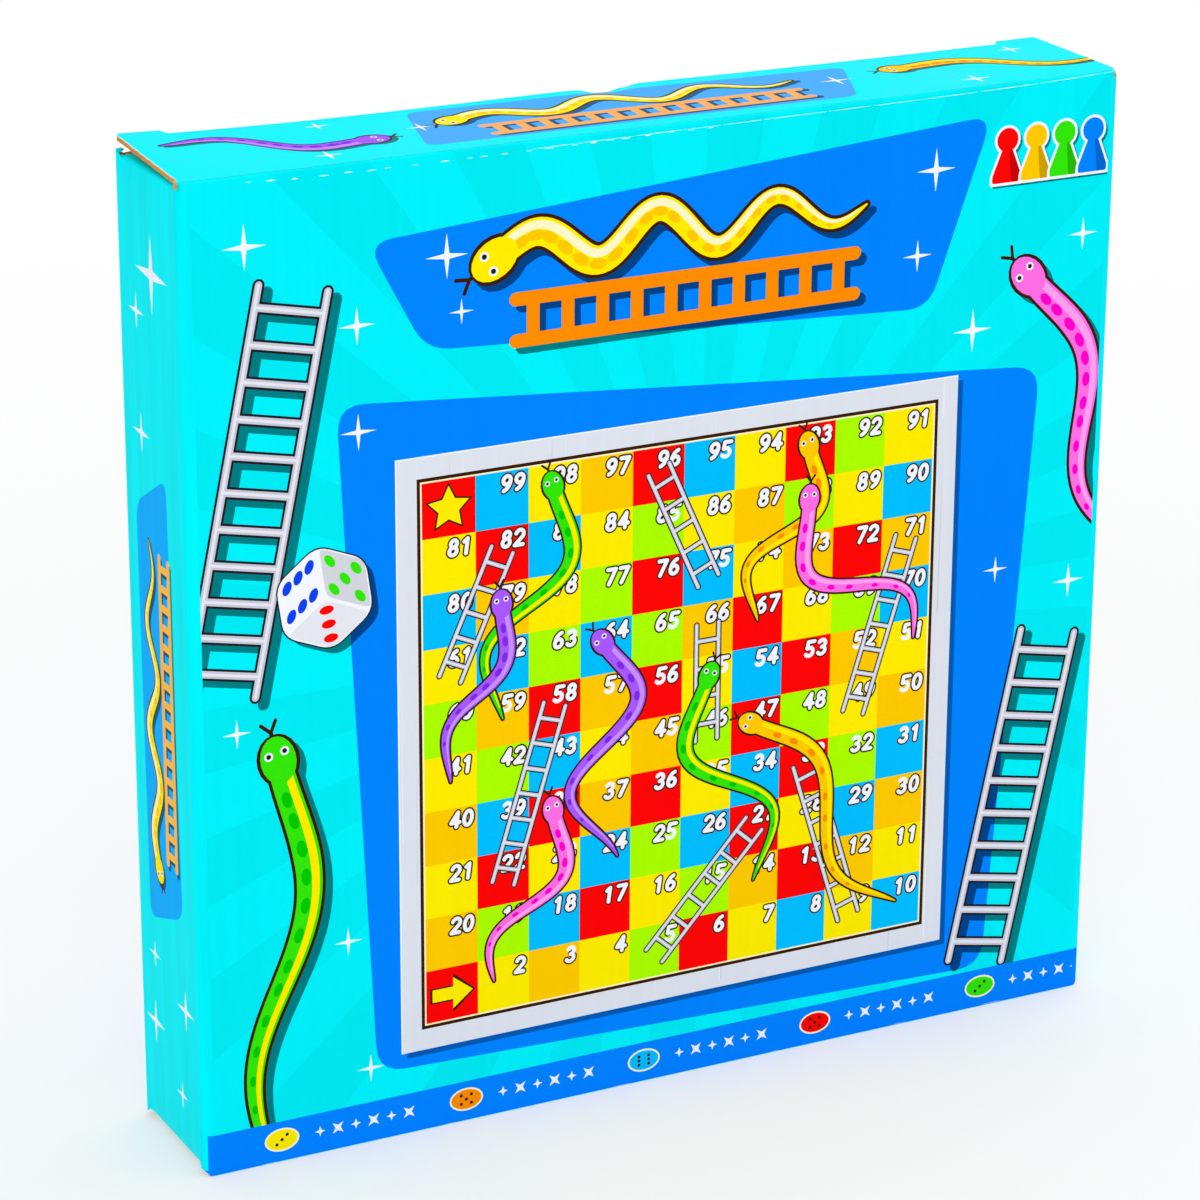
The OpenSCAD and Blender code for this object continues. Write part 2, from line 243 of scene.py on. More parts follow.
class Art:
    """Shapes of one print, painted in order. A number for an ink darkens what is below."""

    def __init__(self, ground, sun=None):
        """A print on one ground, with rays from the place of a sun."""
        self.ground = ground
        self.shapes = []
        if sun:
            self.sunburst(*sun)

    def fill(self, colour, outlines, holes=()):
        self.shapes.append((colour, list(outlines), list(holes)))

    def band(self, colour, path, width, closed=False):
        self.fill(colour, *ribbon(path, width, closed))

    def bars(self, colour, bars, width, shift=(0, 0)):
        """Straight bands between pairs of points."""
        self.fill(colour, [ribbon(np.array(bar) + shift, width)[0][0] for bar in bars])

    def panel(self, colour, corners, r):
        self.fill(colour, [rounded(corners, r)])

    def sunburst(self, cx, cy, rays=26, reach=430):
        wedges = []
        for k in range(rays):
            rim = [math.tau * (k + part) / rays for part in (0, 0.5)]
            wedges.append([(cx, cy)] + [(cx + reach * math.cos(a), cy + reach * math.sin(a)) for a in rim])
        self.fill(RAY_SHADE, wedges)

    def sparkles(self, places):
        for x, y, r in places:
            self.fill(WHITE, [star(x, y, r, 0.17)])

    def ladder(self, foot, top, span, rungs, bar, shadow=0.0):
        bars = rails_and_rungs(foot, top, span / 2, rungs, 0.1)
        if shadow:
            self.bars(SHADOW, bars, bar * 1.5, (shadow, -shadow))
        for colour, share in ((BLACK, 1.5), (STEEL, 0.9), (STEEL_LIGHT, 0.34)):
            self.bars(colour, bars, bar * share)

    def snake(self, path, width, skin, belly, mark, shadow=0.0):
        """A plain banded snake seen from above, from its head to its tail."""
        path = np.array(path, float)
        t = np.linspace(0, 1, len(path))
        body = width * np.maximum(0.06, np.sqrt(1 - t) * (0.8 + 0.2 * np.minimum(1, t / 0.2)))
        run, side = sides(np.gradient(path, axis=0))
        outer = body + width * 0.22
        nose = path[0] - run[0] * width * 0.35
        tip = nose - run[0] * width * 0.95

        def head(length, breadth, shift=(0, 0)):
            return oval(*(nose + shift), width * length, width * breadth, math.atan2(run[0][1], run[0][0]))

        if shadow:
            drop = (shadow, -shadow)
            self.fill(SHADOW, ribbon(path + drop, outer)[0] + [head(0.9, 0.68, drop)])
        self.band(DARK, [nose, tip], width * 0.14)
        for way in (-1, 1):
            self.band(DARK, [tip, tip - run[0] * width * 0.35 + side[0] * way * width * 0.25], width * 0.12)
        self.band(DARK, path, outer)
        self.fill(DARK, [head(0.884, 0.71)])
        self.band(skin, path, body)
        self.band(belly, (path + side * body[:, None] * 0.24)[:-2], body[:-2] * 0.3)
        count = max(4, int(len(path) * 0.22))
        for k in range(count):
            i = 4 + int((len(path) - 10) * k / count)
            at = path[i] - side[i] * body[i] * 0.12
            lean = math.atan2(run[i][1], run[i][0])
            self.fill(mark, [oval(*at, body[i] * 0.34, body[i] * 0.2, lean, 10)])
        self.fill(skin, [head(0.8, 0.58)])
        for way in (-1, 1):
            eye = nose - run[0] * width * 0.22 + side[0] * way * width * 0.27
            self.fill(WHITE, [oval(*eye, width * 0.15, steps=10)])
            self.fill(BLACK, [oval(*eye, width * 0.085, steps=8)])

    def die(self, cx, cy, size, turn, shadow=0.0):
        """A die seen from a corner, with pips in three colours."""
        centre = np.array([cx, cy])
        spin = np.radians([turn + 90, turn + 210, turn + 330])
        axes = [np.array([math.cos(a), math.sin(a)]) * size / 2 for a in spin]
        faces = [np.array([axes[k], axes[(k + 1) % 3]]) for k in range(3)]
        hexagon = np.array([centre + p for face in faces for p in (face[0], face[0] + face[1])])
        if shadow:
            self.panel(SHADOW, hexagon + (shadow, -shadow), size * 0.13)
        self.panel(BLACK, centre + (hexagon - centre) * 1.03, size * 0.13)
        self.panel(WHITE, hexagon, size * 0.13)
        for face, (colour, count, tone) in zip(faces, DIE_FACES):
            self.panel(tone, centre + np.array(rectangle(0.04, 0.04, 0.97, 0.97)) @ face, size * 0.07)
            for step in PIP_STEPS[count]:
                middle = centre + (0.5 + 0.27 * np.array(step)) @ face
                self.fill(colour, [middle + np.array(oval(0, 0, 0.115, steps=15)) @ face])

    def pawn(self, x, y, height, colour, shadow=0.0):
        """The side view of a pawn, standing at y."""
        def silhouette(grow=0.0, shift=0.0):
            foot, neck = height * 0.3 + grow, height * 0.1 + grow
            shin, chin = height * 0.13, height * 0.62
            right = ((foot, -grow), (foot, shin), (neck, chin))
            edge = [*right, *((-w, up) for w, up in right[::-1])]
            body = rounded([(x + shift + w, y - shift + up) for w, up in edge], height * 0.05)
            return [body, oval(x + shift, y - shift + height * 0.78, height * 0.22 + grow)]

        if shadow:
            self.fill(SHADOW, silhouette(height * 0.04, shadow))
        self.fill(WHITE, silhouette(height * 0.05))
        self.fill(colour, silhouette())
        shade = ((0.1, 0), (0.3, 0), (0.3, 0.13), (0.1, 0.6), (0.04, 0.6))
        self.panel(SOFT_SHADOW, [(x + height * a, y + height * b) for a, b in shade], height * 0.03)

    def number(self, value, right, top, height):
        """A plain number in white with a dark edge, its upper right corner at (right, top)."""
        digits = str(value)
        for colour, weight in ((DARK, 0.36), (WHITE, 0.2)):
            for place, digit in enumerate(digits):
                corner = (right - height * 0.66 * (len(digits) - place), top - height)
                for points in GLYPHS[digit]:
                    path = [(x + 0.14 * (y - 0.5), y) for x, y in points]
                    closed = math.dist(points[0], points[-1]) < WELD
                    self.band(colour, np.array(corner) + np.array(path) * height, weight * height, closed)

    def field(self, x0, y0, size):
        """The numbered field of ten by ten squares, with its ladders and snakes."""
        cell = size / 10
        spots = {}
        for row, inks in enumerate(cell_inks(4)):
            for column, colour in enumerate(inks):
                x, y = x0 + column * cell, y0 + row * cell
                number = 10 * row + (column if row % 2 == 0 else 9 - column) + 1
                spots[number] = (x + cell / 2, y + cell / 2)
                self.fill(colour, [rectangle(x, y, x + cell, y + cell)])
        for number, (x, y) in spots.items():
            if 1 < number < 100:
                self.number(number, x + cell * 0.46, y + cell * 0.46, cell * 0.37)
        x, y = spots[1]
        for colour, length, breadth in ((DARK, 1.12, 1.25), (YELLOW, 1, 1)):
            self.fill(colour, [[(x + a * cell * length, y + b * cell * breadth) for a, b in ARROW]])
        for colour, r in ((DARK, 0.47), (YELLOW, 0.4)):
            self.fill(colour, [star(*spots[100], cell * r, 0.5, 5)])
        for low, high in LADDERS:
            (ax, ay), (bx, by) = spots[low], spots[high]
            rungs = round(math.hypot(bx - ax, by - ay) / cell * 2.1)
            self.ladder((ax, ay - cell * 0.1), (bx, by + cell * 0.1), cell * 0.44, rungs, cell * 0.08)
        for head, tail, swing, waves, skin in SNAKES:
            self.snake(wavy(spots[head], spots[tail], swing * cell, waves), cell * 0.33, *SKINS[skin])

    def title(self, x, y, length, height, upright=False, orange=ORANGE):
        """A yellow snake over an orange ladder, in the place of a title."""
        def turned(px, py):
            return (x - py, y + px) if upright else (x + px, y + py)

        path = wavy((0, height * 0.68), (length, height * 0.68), height * 0.17, 3.0, 96)
        shift = height * 0.05
        self.snake([turned(*p) for p in path], height * 0.24, YELLOW, CREAM, AMBER, shift)
        ends = [turned(share * length, height * 0.18) for share in (0.03, 0.97)]
        bars = rails_and_rungs(*ends, height * 0.15, round(length / height * 3.6))
        self.bars(SHADOW, bars, height * 0.1, (shift, -shift))
        self.bars(orange, bars, height * 0.1)

    def moved(self, dx):
        out = Art(self.ground)
        for colour, *groups in self.shapes:
            out.fill(colour, *([[(x + dx, y) for x, y in loop] for loop in loops] for loops in groups))
        return out


def cell_inks(seed):
    """Inks of the ten by ten squares, none like the square before it or below it."""
    rng = random.Random(seed)
    rows = []
    for row in range(10):
        inks = []
        for column in range(10):
            if column == 0 and row in (0, 9):
                inks.append(RED)
                continue
            barred = {inks[-1]} if inks else {RED} if row == 8 else set()
            if rows:
                barred.add(rows[-1][column])
            inks.append(rng.choice([i for i in CELL_INKS if i not in barred]))
        rows.append(inks)
    return rows


def glyph_table():
    """Strokes of the ten digits in a box 0.6 wide and 1 high. A stroke that ends at its start is a ring."""
    def straights(*points):
        return [list(pair) for pair in zip(points, points[1:])]

    six = [arc(0.29, 0.34, 0.19, 0.2, 0, 360, 14), arc(0.5, 0.36, 0.4, 0.5, 178, 105, 5)]
    bowl = arc(0.27, 0.35, 0.21, 0.21, 125, -145, 9)
    return {
        "0": [arc(0.3, 0.5, 0.2, 0.36, 0, 360, 16)],
        "1": straights((0.16, 0.72), (0.32, 0.86), (0.32, 0.14)),
        "2": [arc(0.3, 0.65, 0.2, 0.21, 165, -35, 8)] + straights((0.46, 0.53), (0.1, 0.14), (0.52, 0.14)),
        "3": [arc(0.28, 0.68, 0.18, 0.18, 150, -90, 8), arc(0.28, 0.33, 0.2, 0.19, 80, -150, 8)],
        "4": straights((0.4, 0.14), (0.4, 0.86), (0.1, 0.36), (0.54, 0.36)),
        "5": straights((0.5, 0.86), (0.16, 0.86), (0.13, 0.54)) + [bowl],
        "6": six,
        "7": straights((0.1, 0.86), (0.52, 0.86), (0.24, 0.14)),
        "8": [arc(0.3, 0.69, 0.16, 0.17, 0, 360, 12), arc(0.3, 0.33, 0.19, 0.19, 0, 360, 14)],
        "9": [[(0.6 - x, 1 - y) for x, y in points] for points in six],
    }


GLYPHS = glyph_table()


def partition(outline, art, lines=()):
    """(points, triangles, inks) of an outline cut along the shapes of a print."""
    loops, owners = [outline], [None]
    for index, (_, outers, holes) in enumerate(art.shapes):
        loops += outers + holes
        owners += [(index, False)] * len(outers) + [(index, True)] * len(holes)
    starts = np.cumsum([0] + [len(loop) for loop in loops])
    rings = [list(range(start, start + len(loop))) for start, loop in zip(starts.tolist(), loops)]
    points = [Vector(p) for loop in loops for p in loop]
    edges = [(len(points) + 2 * k, len(points) + 2 * k + 1) for k in range(len(lines))]
    points += [Vector(p) for line in lines for p in line]
    verts, _, faces, _, _, inside = delaunay_2d_cdt(points, edges, rings, 1, WELD, True)
    triangles, inks = [], []
    for face, ids in zip(faces, inside):
        if 0 not in ids:
            continue
        covers = {owners[i][0] for i in ids if i and not owners[i][1]}
        covers -= {owners[i][0] for i in ids if i and owners[i][1]}
        colour = art.ground
        for index in sorted(covers):
            layer = art.shapes[index][0]
            colour = tuple(c * layer for c in colour) if isinstance(layer, float) else layer
        triangles.append(tuple(face))
        inks.append(colour)
    used = sorted({i for face in triangles for i in face})
    order = {old: new for new, old in enumerate(used)}
    return [tuple(verts[i]) for i in used], [tuple(order[i] for i in face) for face in triangles], inks


def linked(name, data):
    made = bpy.data.objects.new(name, data)
    bpy.context.scene.collection.objects.link(made)
    return made


class Piece:
    """Collects patches of faces and makes one mesh object of them."""

    def __init__(self, place, flip=(1, 1), across=0):
        self.place = place
        self.flip = flip
        self.across = across
        self.verts, self.sheet = [], []
        self.faces, self.inks, self.slots, self.normals = [], [], [], []

    def mirrored(self, point):
        x, y, z = point
        return (x * self.flip[0], y, z if self.flip[1] > 0 else BOX_H - z)

    def spot(self, u, v, depth):
        """The point at a depth below (u, v), mirrored for the piece's side and end."""
        return self.mirrored(self.place(u, v, depth))

    def normal(self, u, v, depth, step=0.01):
        around = ((-step, 0), (step, 0), (0, -step), (0, step))
        west, east, south, north = (Vector(self.spot(u + a, v + b, depth)) for a, b in around)
        return (east - west).cross(north - south).normalized() * self.flip[0] * self.flip[1]

    def add(self, points, sheet, faces, inks, slot, normals=None):
        """Adds faces over points of the row's frame. Faces without normals stay flat."""
        first = len(self.verts)
        self.verts.extend(points)
        self.sheet.extend(sheet)
        for face, colour in zip(faces, inks):
            self.faces.append([first + i for i in face])
            self.inks.append(colour)
            self.slots.append(slot)
            self.normals.append([normals[i] if normals else Vector() for i in face])

    def patch(self, points, faces, inks, slot, smooth=None):
        """Adds faces over (u, v, depth) points. smooth is 1 or -1 for a curved sheet facing out or in."""
        normals = [self.normal(*p) * smooth for p in points] if smooth else None
        if self.flip[0] * self.flip[1] < 0:
            faces = [face[::-1] for face in faces]
        sheet = [(p[self.across], p[1 - self.across], p[2]) for p in points]
        self.add([self.spot(*p) for p in points], sheet, faces, inks, slot, normals)

    def liner(self, outline, art, lines=(), near=0, far=LINER_T, slot=PRINT_SLOT, edge=PAPER, seam=None):
        """A sheet of paper between two depths, printed on its near side and on its cut below v = seam."""
        flat, triangles, inks = partition(outline, art, lines)
        self.patch([(u, v, near) for u, v in flat], triangles, inks, slot, 1)
        seen = {(t[i], t[(i + 1) % 3]) for t in triangles for i in range(3)}
        rim = sorted(e for e in seen if (e[1], e[0]) not in seen)
        cuts = [(flat[a], flat[b]) for a, b in rim]
        back, triangles, inks = partition(outline, Art(BROWN), [*cuts, *lines])
        self.patch([(u, v, far) for u, v in back], [t[::-1] for t in triangles], inks, KRAFT_SLOT, -1)
        for a, b in rim:
            wall = [(*flat[b], near), (*flat[a], near), (*flat[a], far), (*flat[b], far)]
            printed = seam is not None and max(flat[a][1], flat[b][1]) < seam
            self.patch(wall, [(0, 1, 2, 3)], [art.ground if printed else edge], slot)

    def kraft_liner(self, outline, lines=()):
        """The plain brown paper on the inside of the board."""
        self.liner(outline, Art(BROWN), lines, BOARD_T, BOARD_T - LINER_T, KRAFT_SLOT, BROWN)

    def flutes(self, outline, across=0):
        """The wavy paper between the liners. across is 0 when its ridges run along v."""
        ring = [(p[across], p[1 - across]) for p in outline]
        low, high = min(p[0] for p in ring), max(p[0] for p in ring)
        middle = BOARD_T / 2
        swing = middle - LINER_T - MEDIUM_T / 2
        count = round((high - low) / FLUTE_PITCH * FLUTE_STEPS)
        points, faces = [], []
        for k in range(count + 1):
            s = low + (high - low) * min(max(k / count, 1e-4), 1 - 1e-4)
            cross = []
            for (a, b), (c, d) in zip(ring, ring[1:] + ring[:1]):
                if (a - s) * (c - s) < 0:
                    cross.append(b + (d - b) * (s - a) / (c - a))
            depth = middle + swing * math.cos(math.tau * s / FLUTE_PITCH)
            for at in (min(cross), max(cross)):
                for off in (-MEDIUM_T / 2, MEDIUM_T / 2):
                    points.append((s, at, depth + off) if across == 0 else (at, s, depth + off))
            if k:
                i, j = 4 * (k - 1), 4 * k
                faces += [(i, j, j + 2, i + 2), (i + 1, i + 3, j + 3, j + 1), (i, i + 1, j + 1, j),
                          (i + 2, j + 2, j + 3, i + 3)]
        last = 4 * count
        faces += [(0, 2, 3, 1), (last, last + 1, last + 3, last + 2)]
        if across:
            faces = [face[::-1] for face in faces]
        self.patch(points, faces, [BROWN] * len(faces), KRAFT_SLOT)

    def tube(self, rings, colour=BROWN, slot=KRAFT_SLOT):
        """Joins rings of points in the row's frame into a closed bar."""
        n = len(rings[0])
        flat = [Vector(self.mirrored(p)) for ring in rings for p in ring]
        faces = [
            (k + i, k + (i + 1) % n, k + n + (i + 1) % n, k + n + i)
            for k in range(0, len(flat) - n, n) for i in range(n)
        ]
        faces += [tuple(range(n))[::-1], tuple(range(len(flat) - n, len(flat)))]
        volume = sum((flat[f[0]] - flat[0]).dot((flat[f[i]] - flat[0]).cross(flat[f[i + 1]] - flat[0]))
                     for f in faces for i in range(1, len(f) - 1))
        if volume <= 0:
            faces = [face[::-1] for face in faces]
        self.add(flat, [(p.x, p.z, 0) for p in flat], faces, [colour] * len(faces), slot)

    def bead(self, centres):
        """The crushed core of a crease along X through centres."""
        ring = oval(0, 0, BEAD_CORE, steps=16)
        self.tube([[(c.x, c.y + p, c.z + q) for p, q in ring] for c in centres])

    def finish(self, name, body, nodes, materials, slot="printed_board"):
        mesh = bpy.data.meshes.new(name)
        mesh.from_pydata([tuple(c * MM for c in v) for v in self.verts], [], self.faces)
        for made in materials:
            mesh.materials.append(made)
        mesh.polygons.foreach_set("material_index", self.slots)
        mesh.polygons.foreach_set("use_smooth", [bool(n[0].length) for n in self.normals])
        colours = mesh.color_attributes.new("ink", "FLOAT_COLOR", "CORNER")
        flat = [c for face, colour in zip(self.faces, self.inks) for _ in face for c in (*colour, 1.0)]
        colours.data.foreach_set("color", flat)
        sheet = mesh.attributes.new("sheet", "FLOAT_VECTOR", "POINT")
        sheet.data.foreach_set("vector", [c * MM for s in self.sheet for c in s])
        mesh.normals_split_custom_set([tuple(n) for face in self.normals for n in face])
        made = linked(name, mesh)
        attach(made, body)
        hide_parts(*nodes)


# Shape of the carton's edges, in millimetres
CREASE_END = HALF_W - 1.4
HOOK_END = HALF_W - 0.2
HOOK_STUB = 0.6
HOOK_STEPS = (0, 0.2, 0.4, 0.6, 0.8, 0.93)
FOLD = HALF_W - FOLD_R
LIFT, LIFT_FROM, LIFT_RUN = 2.5, 15.0, 121.0
BOW, BOW_AT, BOW_WIDE = 0.95, -12.0, 62.0
SLIT_FROM, SLIT_FADE, SLIT_W = 101.0, 9.0, 0.5
TUCK_R = 8.0
TURN = BEAD_R * (math.pi / 2 + 0.15)
WRAP = BEAD_R * (math.pi / 2 + 0.6)
HINGE_GAP = 0.3
HINGE_R = BEAD_R + 0.03
HINGE_FULL = math.sqrt(HINGE_R ** 2 - (BEAD_R - LINER_T) ** 2)
STRIP_TOP = LID_PIVOT.z
STRIP_LOW = BOX_H - LID_PIVOT.z
CURL_FADE = 6.0
LEAN = HALF_W + DUST_PIVOT.x
LEAN_REACH = 7.0
LEAN_RUN = 2.5
CORNER_ARC = FOLD_R * math.pi / 2
CORNER_DIP = 0.8
CORNER_STEP = 1.8
RIM = ((0, 0.6), (0, 0.05), (1.2, 0.2), (1.2, 0.6))
INNER_DIP = 1.8
BEAD_CORE = BEAD_R - LINER_T - 0.02
THUMB_R = 9.0
GLUE_SLANT = 10 / 24
TUCK_INNER_DROP = 2.3
EAR_CUT, EAR_WORN_FROM, EAR_WORN_TO, WEAR_STEP = 1.6, 6.0, 1.2, 0.9
DUST_TAPER, DUST_R = 15.0, 5.0
BASE_INSET = 2.6
LID_INSET = 0.9
DENTS = ((0.5, 5.0, 12.5, 1.8), (7.5, 1.8, 16.0, 0.4))
DENT_REACH = 2.4


def smooth(t):
    t = min(max(t, 0.0), 1.0)
    return t * t * (3 - 2 * t)


def curl(u):
    """How far a crease's end turns in over the upright fold."""
    past = min(max(abs(u) - FOLD, 0.0), FOLD_R * 0.95)
    return FOLD_R - math.sqrt(FOLD_R * FOLD_R - past * past)


def fold_spots(end, steps=6):
    """Distances from the middle, from the upright fold out to a crease's end."""
    reach = math.asin(min((end - FOLD) / FOLD_R, 0.95))
    return [FOLD + FOLD_R * math.sin(reach * k / steps) for k in range(steps)] + [end]


# Places of the panels. Each takes (u, v, depth) with u to the right and v up, seen from outside
def place_front(u, v, depth):
    beyond = max(v - STRIP_TOP, STRIP_LOW - v)
    if beyond <= 0 or depth > BEAD_R:
        return (u, -HALF_D + depth + curl(u), v)
    a = beyond / BEAD_R
    y = LID_PIVOT.y - (BEAD_R - depth) * math.cos(a) + curl(u)
    rise = (BEAD_R - depth) * math.sin(a)
    return (u, y, STRIP_TOP + rise if v > STRIP_TOP else STRIP_LOW - rise)


def side_place(rear_y):
    """Place of the left side panel whose rear fold turns about rear_y, u from the back to the front."""
    front_y = -HALF_D + FOLD_R
    flat = rear_y - front_y
    whole = 2 * CORNER_ARC + flat

    def place(u, v, depth):
        s = whole - u
        r = FOLD_R - depth
        if s < CORNER_ARC:
            a = s / FOLD_R
            return (-HALF_W + FOLD_R - r * math.sin(a), front_y - r * math.cos(a), v)
        if s > CORNER_ARC + flat:
            a = (s - CORNER_ARC - flat) / FOLD_R
            return (-HALF_W + FOLD_R - r * math.cos(a), rear_y + r * math.sin(a), v)
        inward = min(s - CORNER_ARC, CORNER_ARC + flat - s)
        from_crease = DUST_PIVOT.z - v if v > BOX_H / 2 else v - (BOX_H - DUST_PIVOT.z)
        lean = LEAN * max(0.0, 1 - from_crease / LEAN_REACH) ** 2 * smooth(inward / LEAN_RUN)
        return (-HALF_W + depth + lean * (1 - depth / BOARD_T), front_y + s - CORNER_ARC, v)
    return place, whole


def lid_lift(u, v):
    """How far the lid has sprung up: most at its left end, a little in the middle."""
    back = min(max((v - LID_PIVOT.y) / (HALF_D - LID_PIVOT.y), 0.0), 1.0)
    end = LIFT * min(max((-u - LIFT_FROM) / LIFT_RUN, 0.0), 1.0) ** 2
    return (end + BOW * math.exp(-((u - BOW_AT) / BOW_WIDE) ** 2)) * back


def thinned(t, depth):
    """Depth in the lid at t from its pivot, which keeps it clear of the liner wrapped round the crease."""
    if t >= HINGE_FULL or depth > LINER_T:
        return depth
    return min(depth, BEAD_R - math.sqrt(HINGE_R ** 2 - t * t))


def lid_place(dents, sprung):
    """Place of the top lid, u along X and v towards the back, pressed in at the dents."""
    def place(u, v, depth):
        up = lid_lift(u, v) if sprung else 0.0
        low = 0.0
        for at, wide, back, deep in dents:
            rear = smooth((min(v, TUCK_PIVOT.y) - back) / (TUCK_PIVOT.y - back))
            low += deep * math.exp(-((u - at) / wide) ** 2) * rear * (1 - depth / BOARD_T)
        if v > TUCK_PIVOT.y and depth < BEAD_R and abs(u) < TUCK_HIGH.x + 0.2:
            a = (v - TUCK_PIVOT.y) / BEAD_R
            r = BEAD_R - depth
            return (u, TUCK_PIVOT.y + r * math.sin(a), TUCK_PIVOT.z + r * math.cos(a) - low + up)
        inward = curl(u) * smooth((LID_PIVOT.y + CURL_FADE - v) / CURL_FADE)
        return (u, v + inward, BOX_H - thinned(v - LID_PIVOT.y, depth) - low + up)
    return place


def tuck_place(dents, sprung):
    """Place of the top tuck flap, seen from behind; it follows the lid up to its slit."""
    def place(u, v, depth):
        shift = -sum(deep * math.exp(-((-u - at) / wide) ** 2) for at, wide, _, deep in dents)
        if sprung:
            shift += lid_lift(-u, TUCK_PIVOT.y) * (1 - smooth((u - SLIT_FROM) / SLIT_FADE))
        return (-u, TUCK_HIGH.y - depth, v + shift * smooth((v - TUCK_LOW.z) / (TUCK_PIVOT.z - TUCK_LOW.z)))
    return place


def place_dust(u, v, depth):
    """Place of the top left dust flap, u away from its crease and v towards the back."""
    t = min(max(u / (2.5 * LEAN), 0.0), 1.0)
    fall = LEAN * (1 - t) ** 2
    return (DUST_PIVOT.x + u, v, WALL_TOP - depth - fall * (1 - depth / BOARD_T))


def ragged(start, end, step, depth, seed):
    """Points from start to end, worn in to the left by up to depth."""
    rng = random.Random(seed)
    start = np.array(start, float)
    run = np.array(end, float) - start
    count = max(2, round(np.linalg.norm(run) / step))
    inward = sides(run)[1]
    out = [tuple(start)]
    for k in range(1, count):
        along = run * (k + rng.uniform(-0.3, 0.3)) / count
        out.append(tuple(start + along + inward * rng.uniform(0, depth)))
    return out + [end]


def cracks(art, start, end, line, drift, dash, gap, width, seed):
    """White nicks in the print along a crease whose height at u is line(u)."""
    rng = random.Random(seed)
    at = start
    while at < end:
        length = rng.uniform(*dash)
        shift = rng.uniform(-drift, drift)
        count = max(2, round(length / 1.6))
        top, low = [], []
        for k in range(count + 1):
            u = at + length * k / count
            middle = line(u) + shift
            body = math.sin(math.pi * (0.08 + 0.84 * k / count)) * rng.uniform(*width)
            top.append((u, middle + body * rng.uniform(0.4, 1)))
            low.append((u, middle - body * rng.uniform(0.4, 1)))
        art.fill(WHITE, [low + top[::-1]])
        at += length + rng.uniform(*gap)


# Lines that let a sheet bend, upright at places along u or level at places along v
def uprights(places, low, high):
    return [((p, low), (p, high)) for p in places]


def levels(places, left, right):
    return [((left, p), (right, p)) for p in places]


def spread(start, end, count):
    return np.linspace(start, end, count + 1)


# Prints
SUN = (146, 132)
BACK_SUN = (0, 130)
BOARD_PICTURE = (57, 24, 224, 191)
FIELD_INSET = 7.4
STRIP_FOOT, STRIP_HEAD, STRIP_MIDDLE = 0.3, 12.0, 6.6
STRIP_BADGES = ((YELLOW, 3), (ORANGE, 5), (SKY, 6), (RED, 5), (GREEN, 3))
CRACK_SAG = 1.75


def crack_line(u):
    sag = (CRACK_SAG - 0.65 * u / CREASE_END) * (1 - (u / CREASE_END) ** 6)
    return STRIP_TOP + BEAD_R - sag


def board_picture(art, x0, y0, x1, y1):
    """The board in its whitewashed frame."""
    art.fill(FRAME_SHADOW, [rectangle(x0 + 1.6, y0 - 1.6, x1 + 1.6, y1 - 1.6)])
    art.fill(FRAME, [rectangle(x0, y0, x1, y1)])
    grain = random.Random(5)
    for k in range(150):
        x = x0 + grain.uniform(0.5, x1 - x0 - 1)
        y = grain.uniform(y0, y1 - 12)
        width = grain.uniform(0.15, 0.5)
        tone = grain.choice([FRAME_LIGHT, FRAME_DARK])
        end = min(y + grain.uniform(10, 60), y1)
        art.fill(tone, [[(x, y), (x + width, y + 1), (x + width, end), (x, y + 9)]])
    art.fill(WHITE, [rectangle(x0, y0, x0 + 0.4, y1), rectangle(x0, y1 - 0.4, x1, y1)])
    for inset, colour in ((6.0, DARK), (6.95, CREAM)):
        art.fill(colour, [rectangle(x0 + inset, y0 + inset, x1 - inset, y1 - inset)])
    art.field(x0 + FIELD_INSET, y0 + FIELD_INSET, x1 - x0 - 2 * FIELD_INSET)


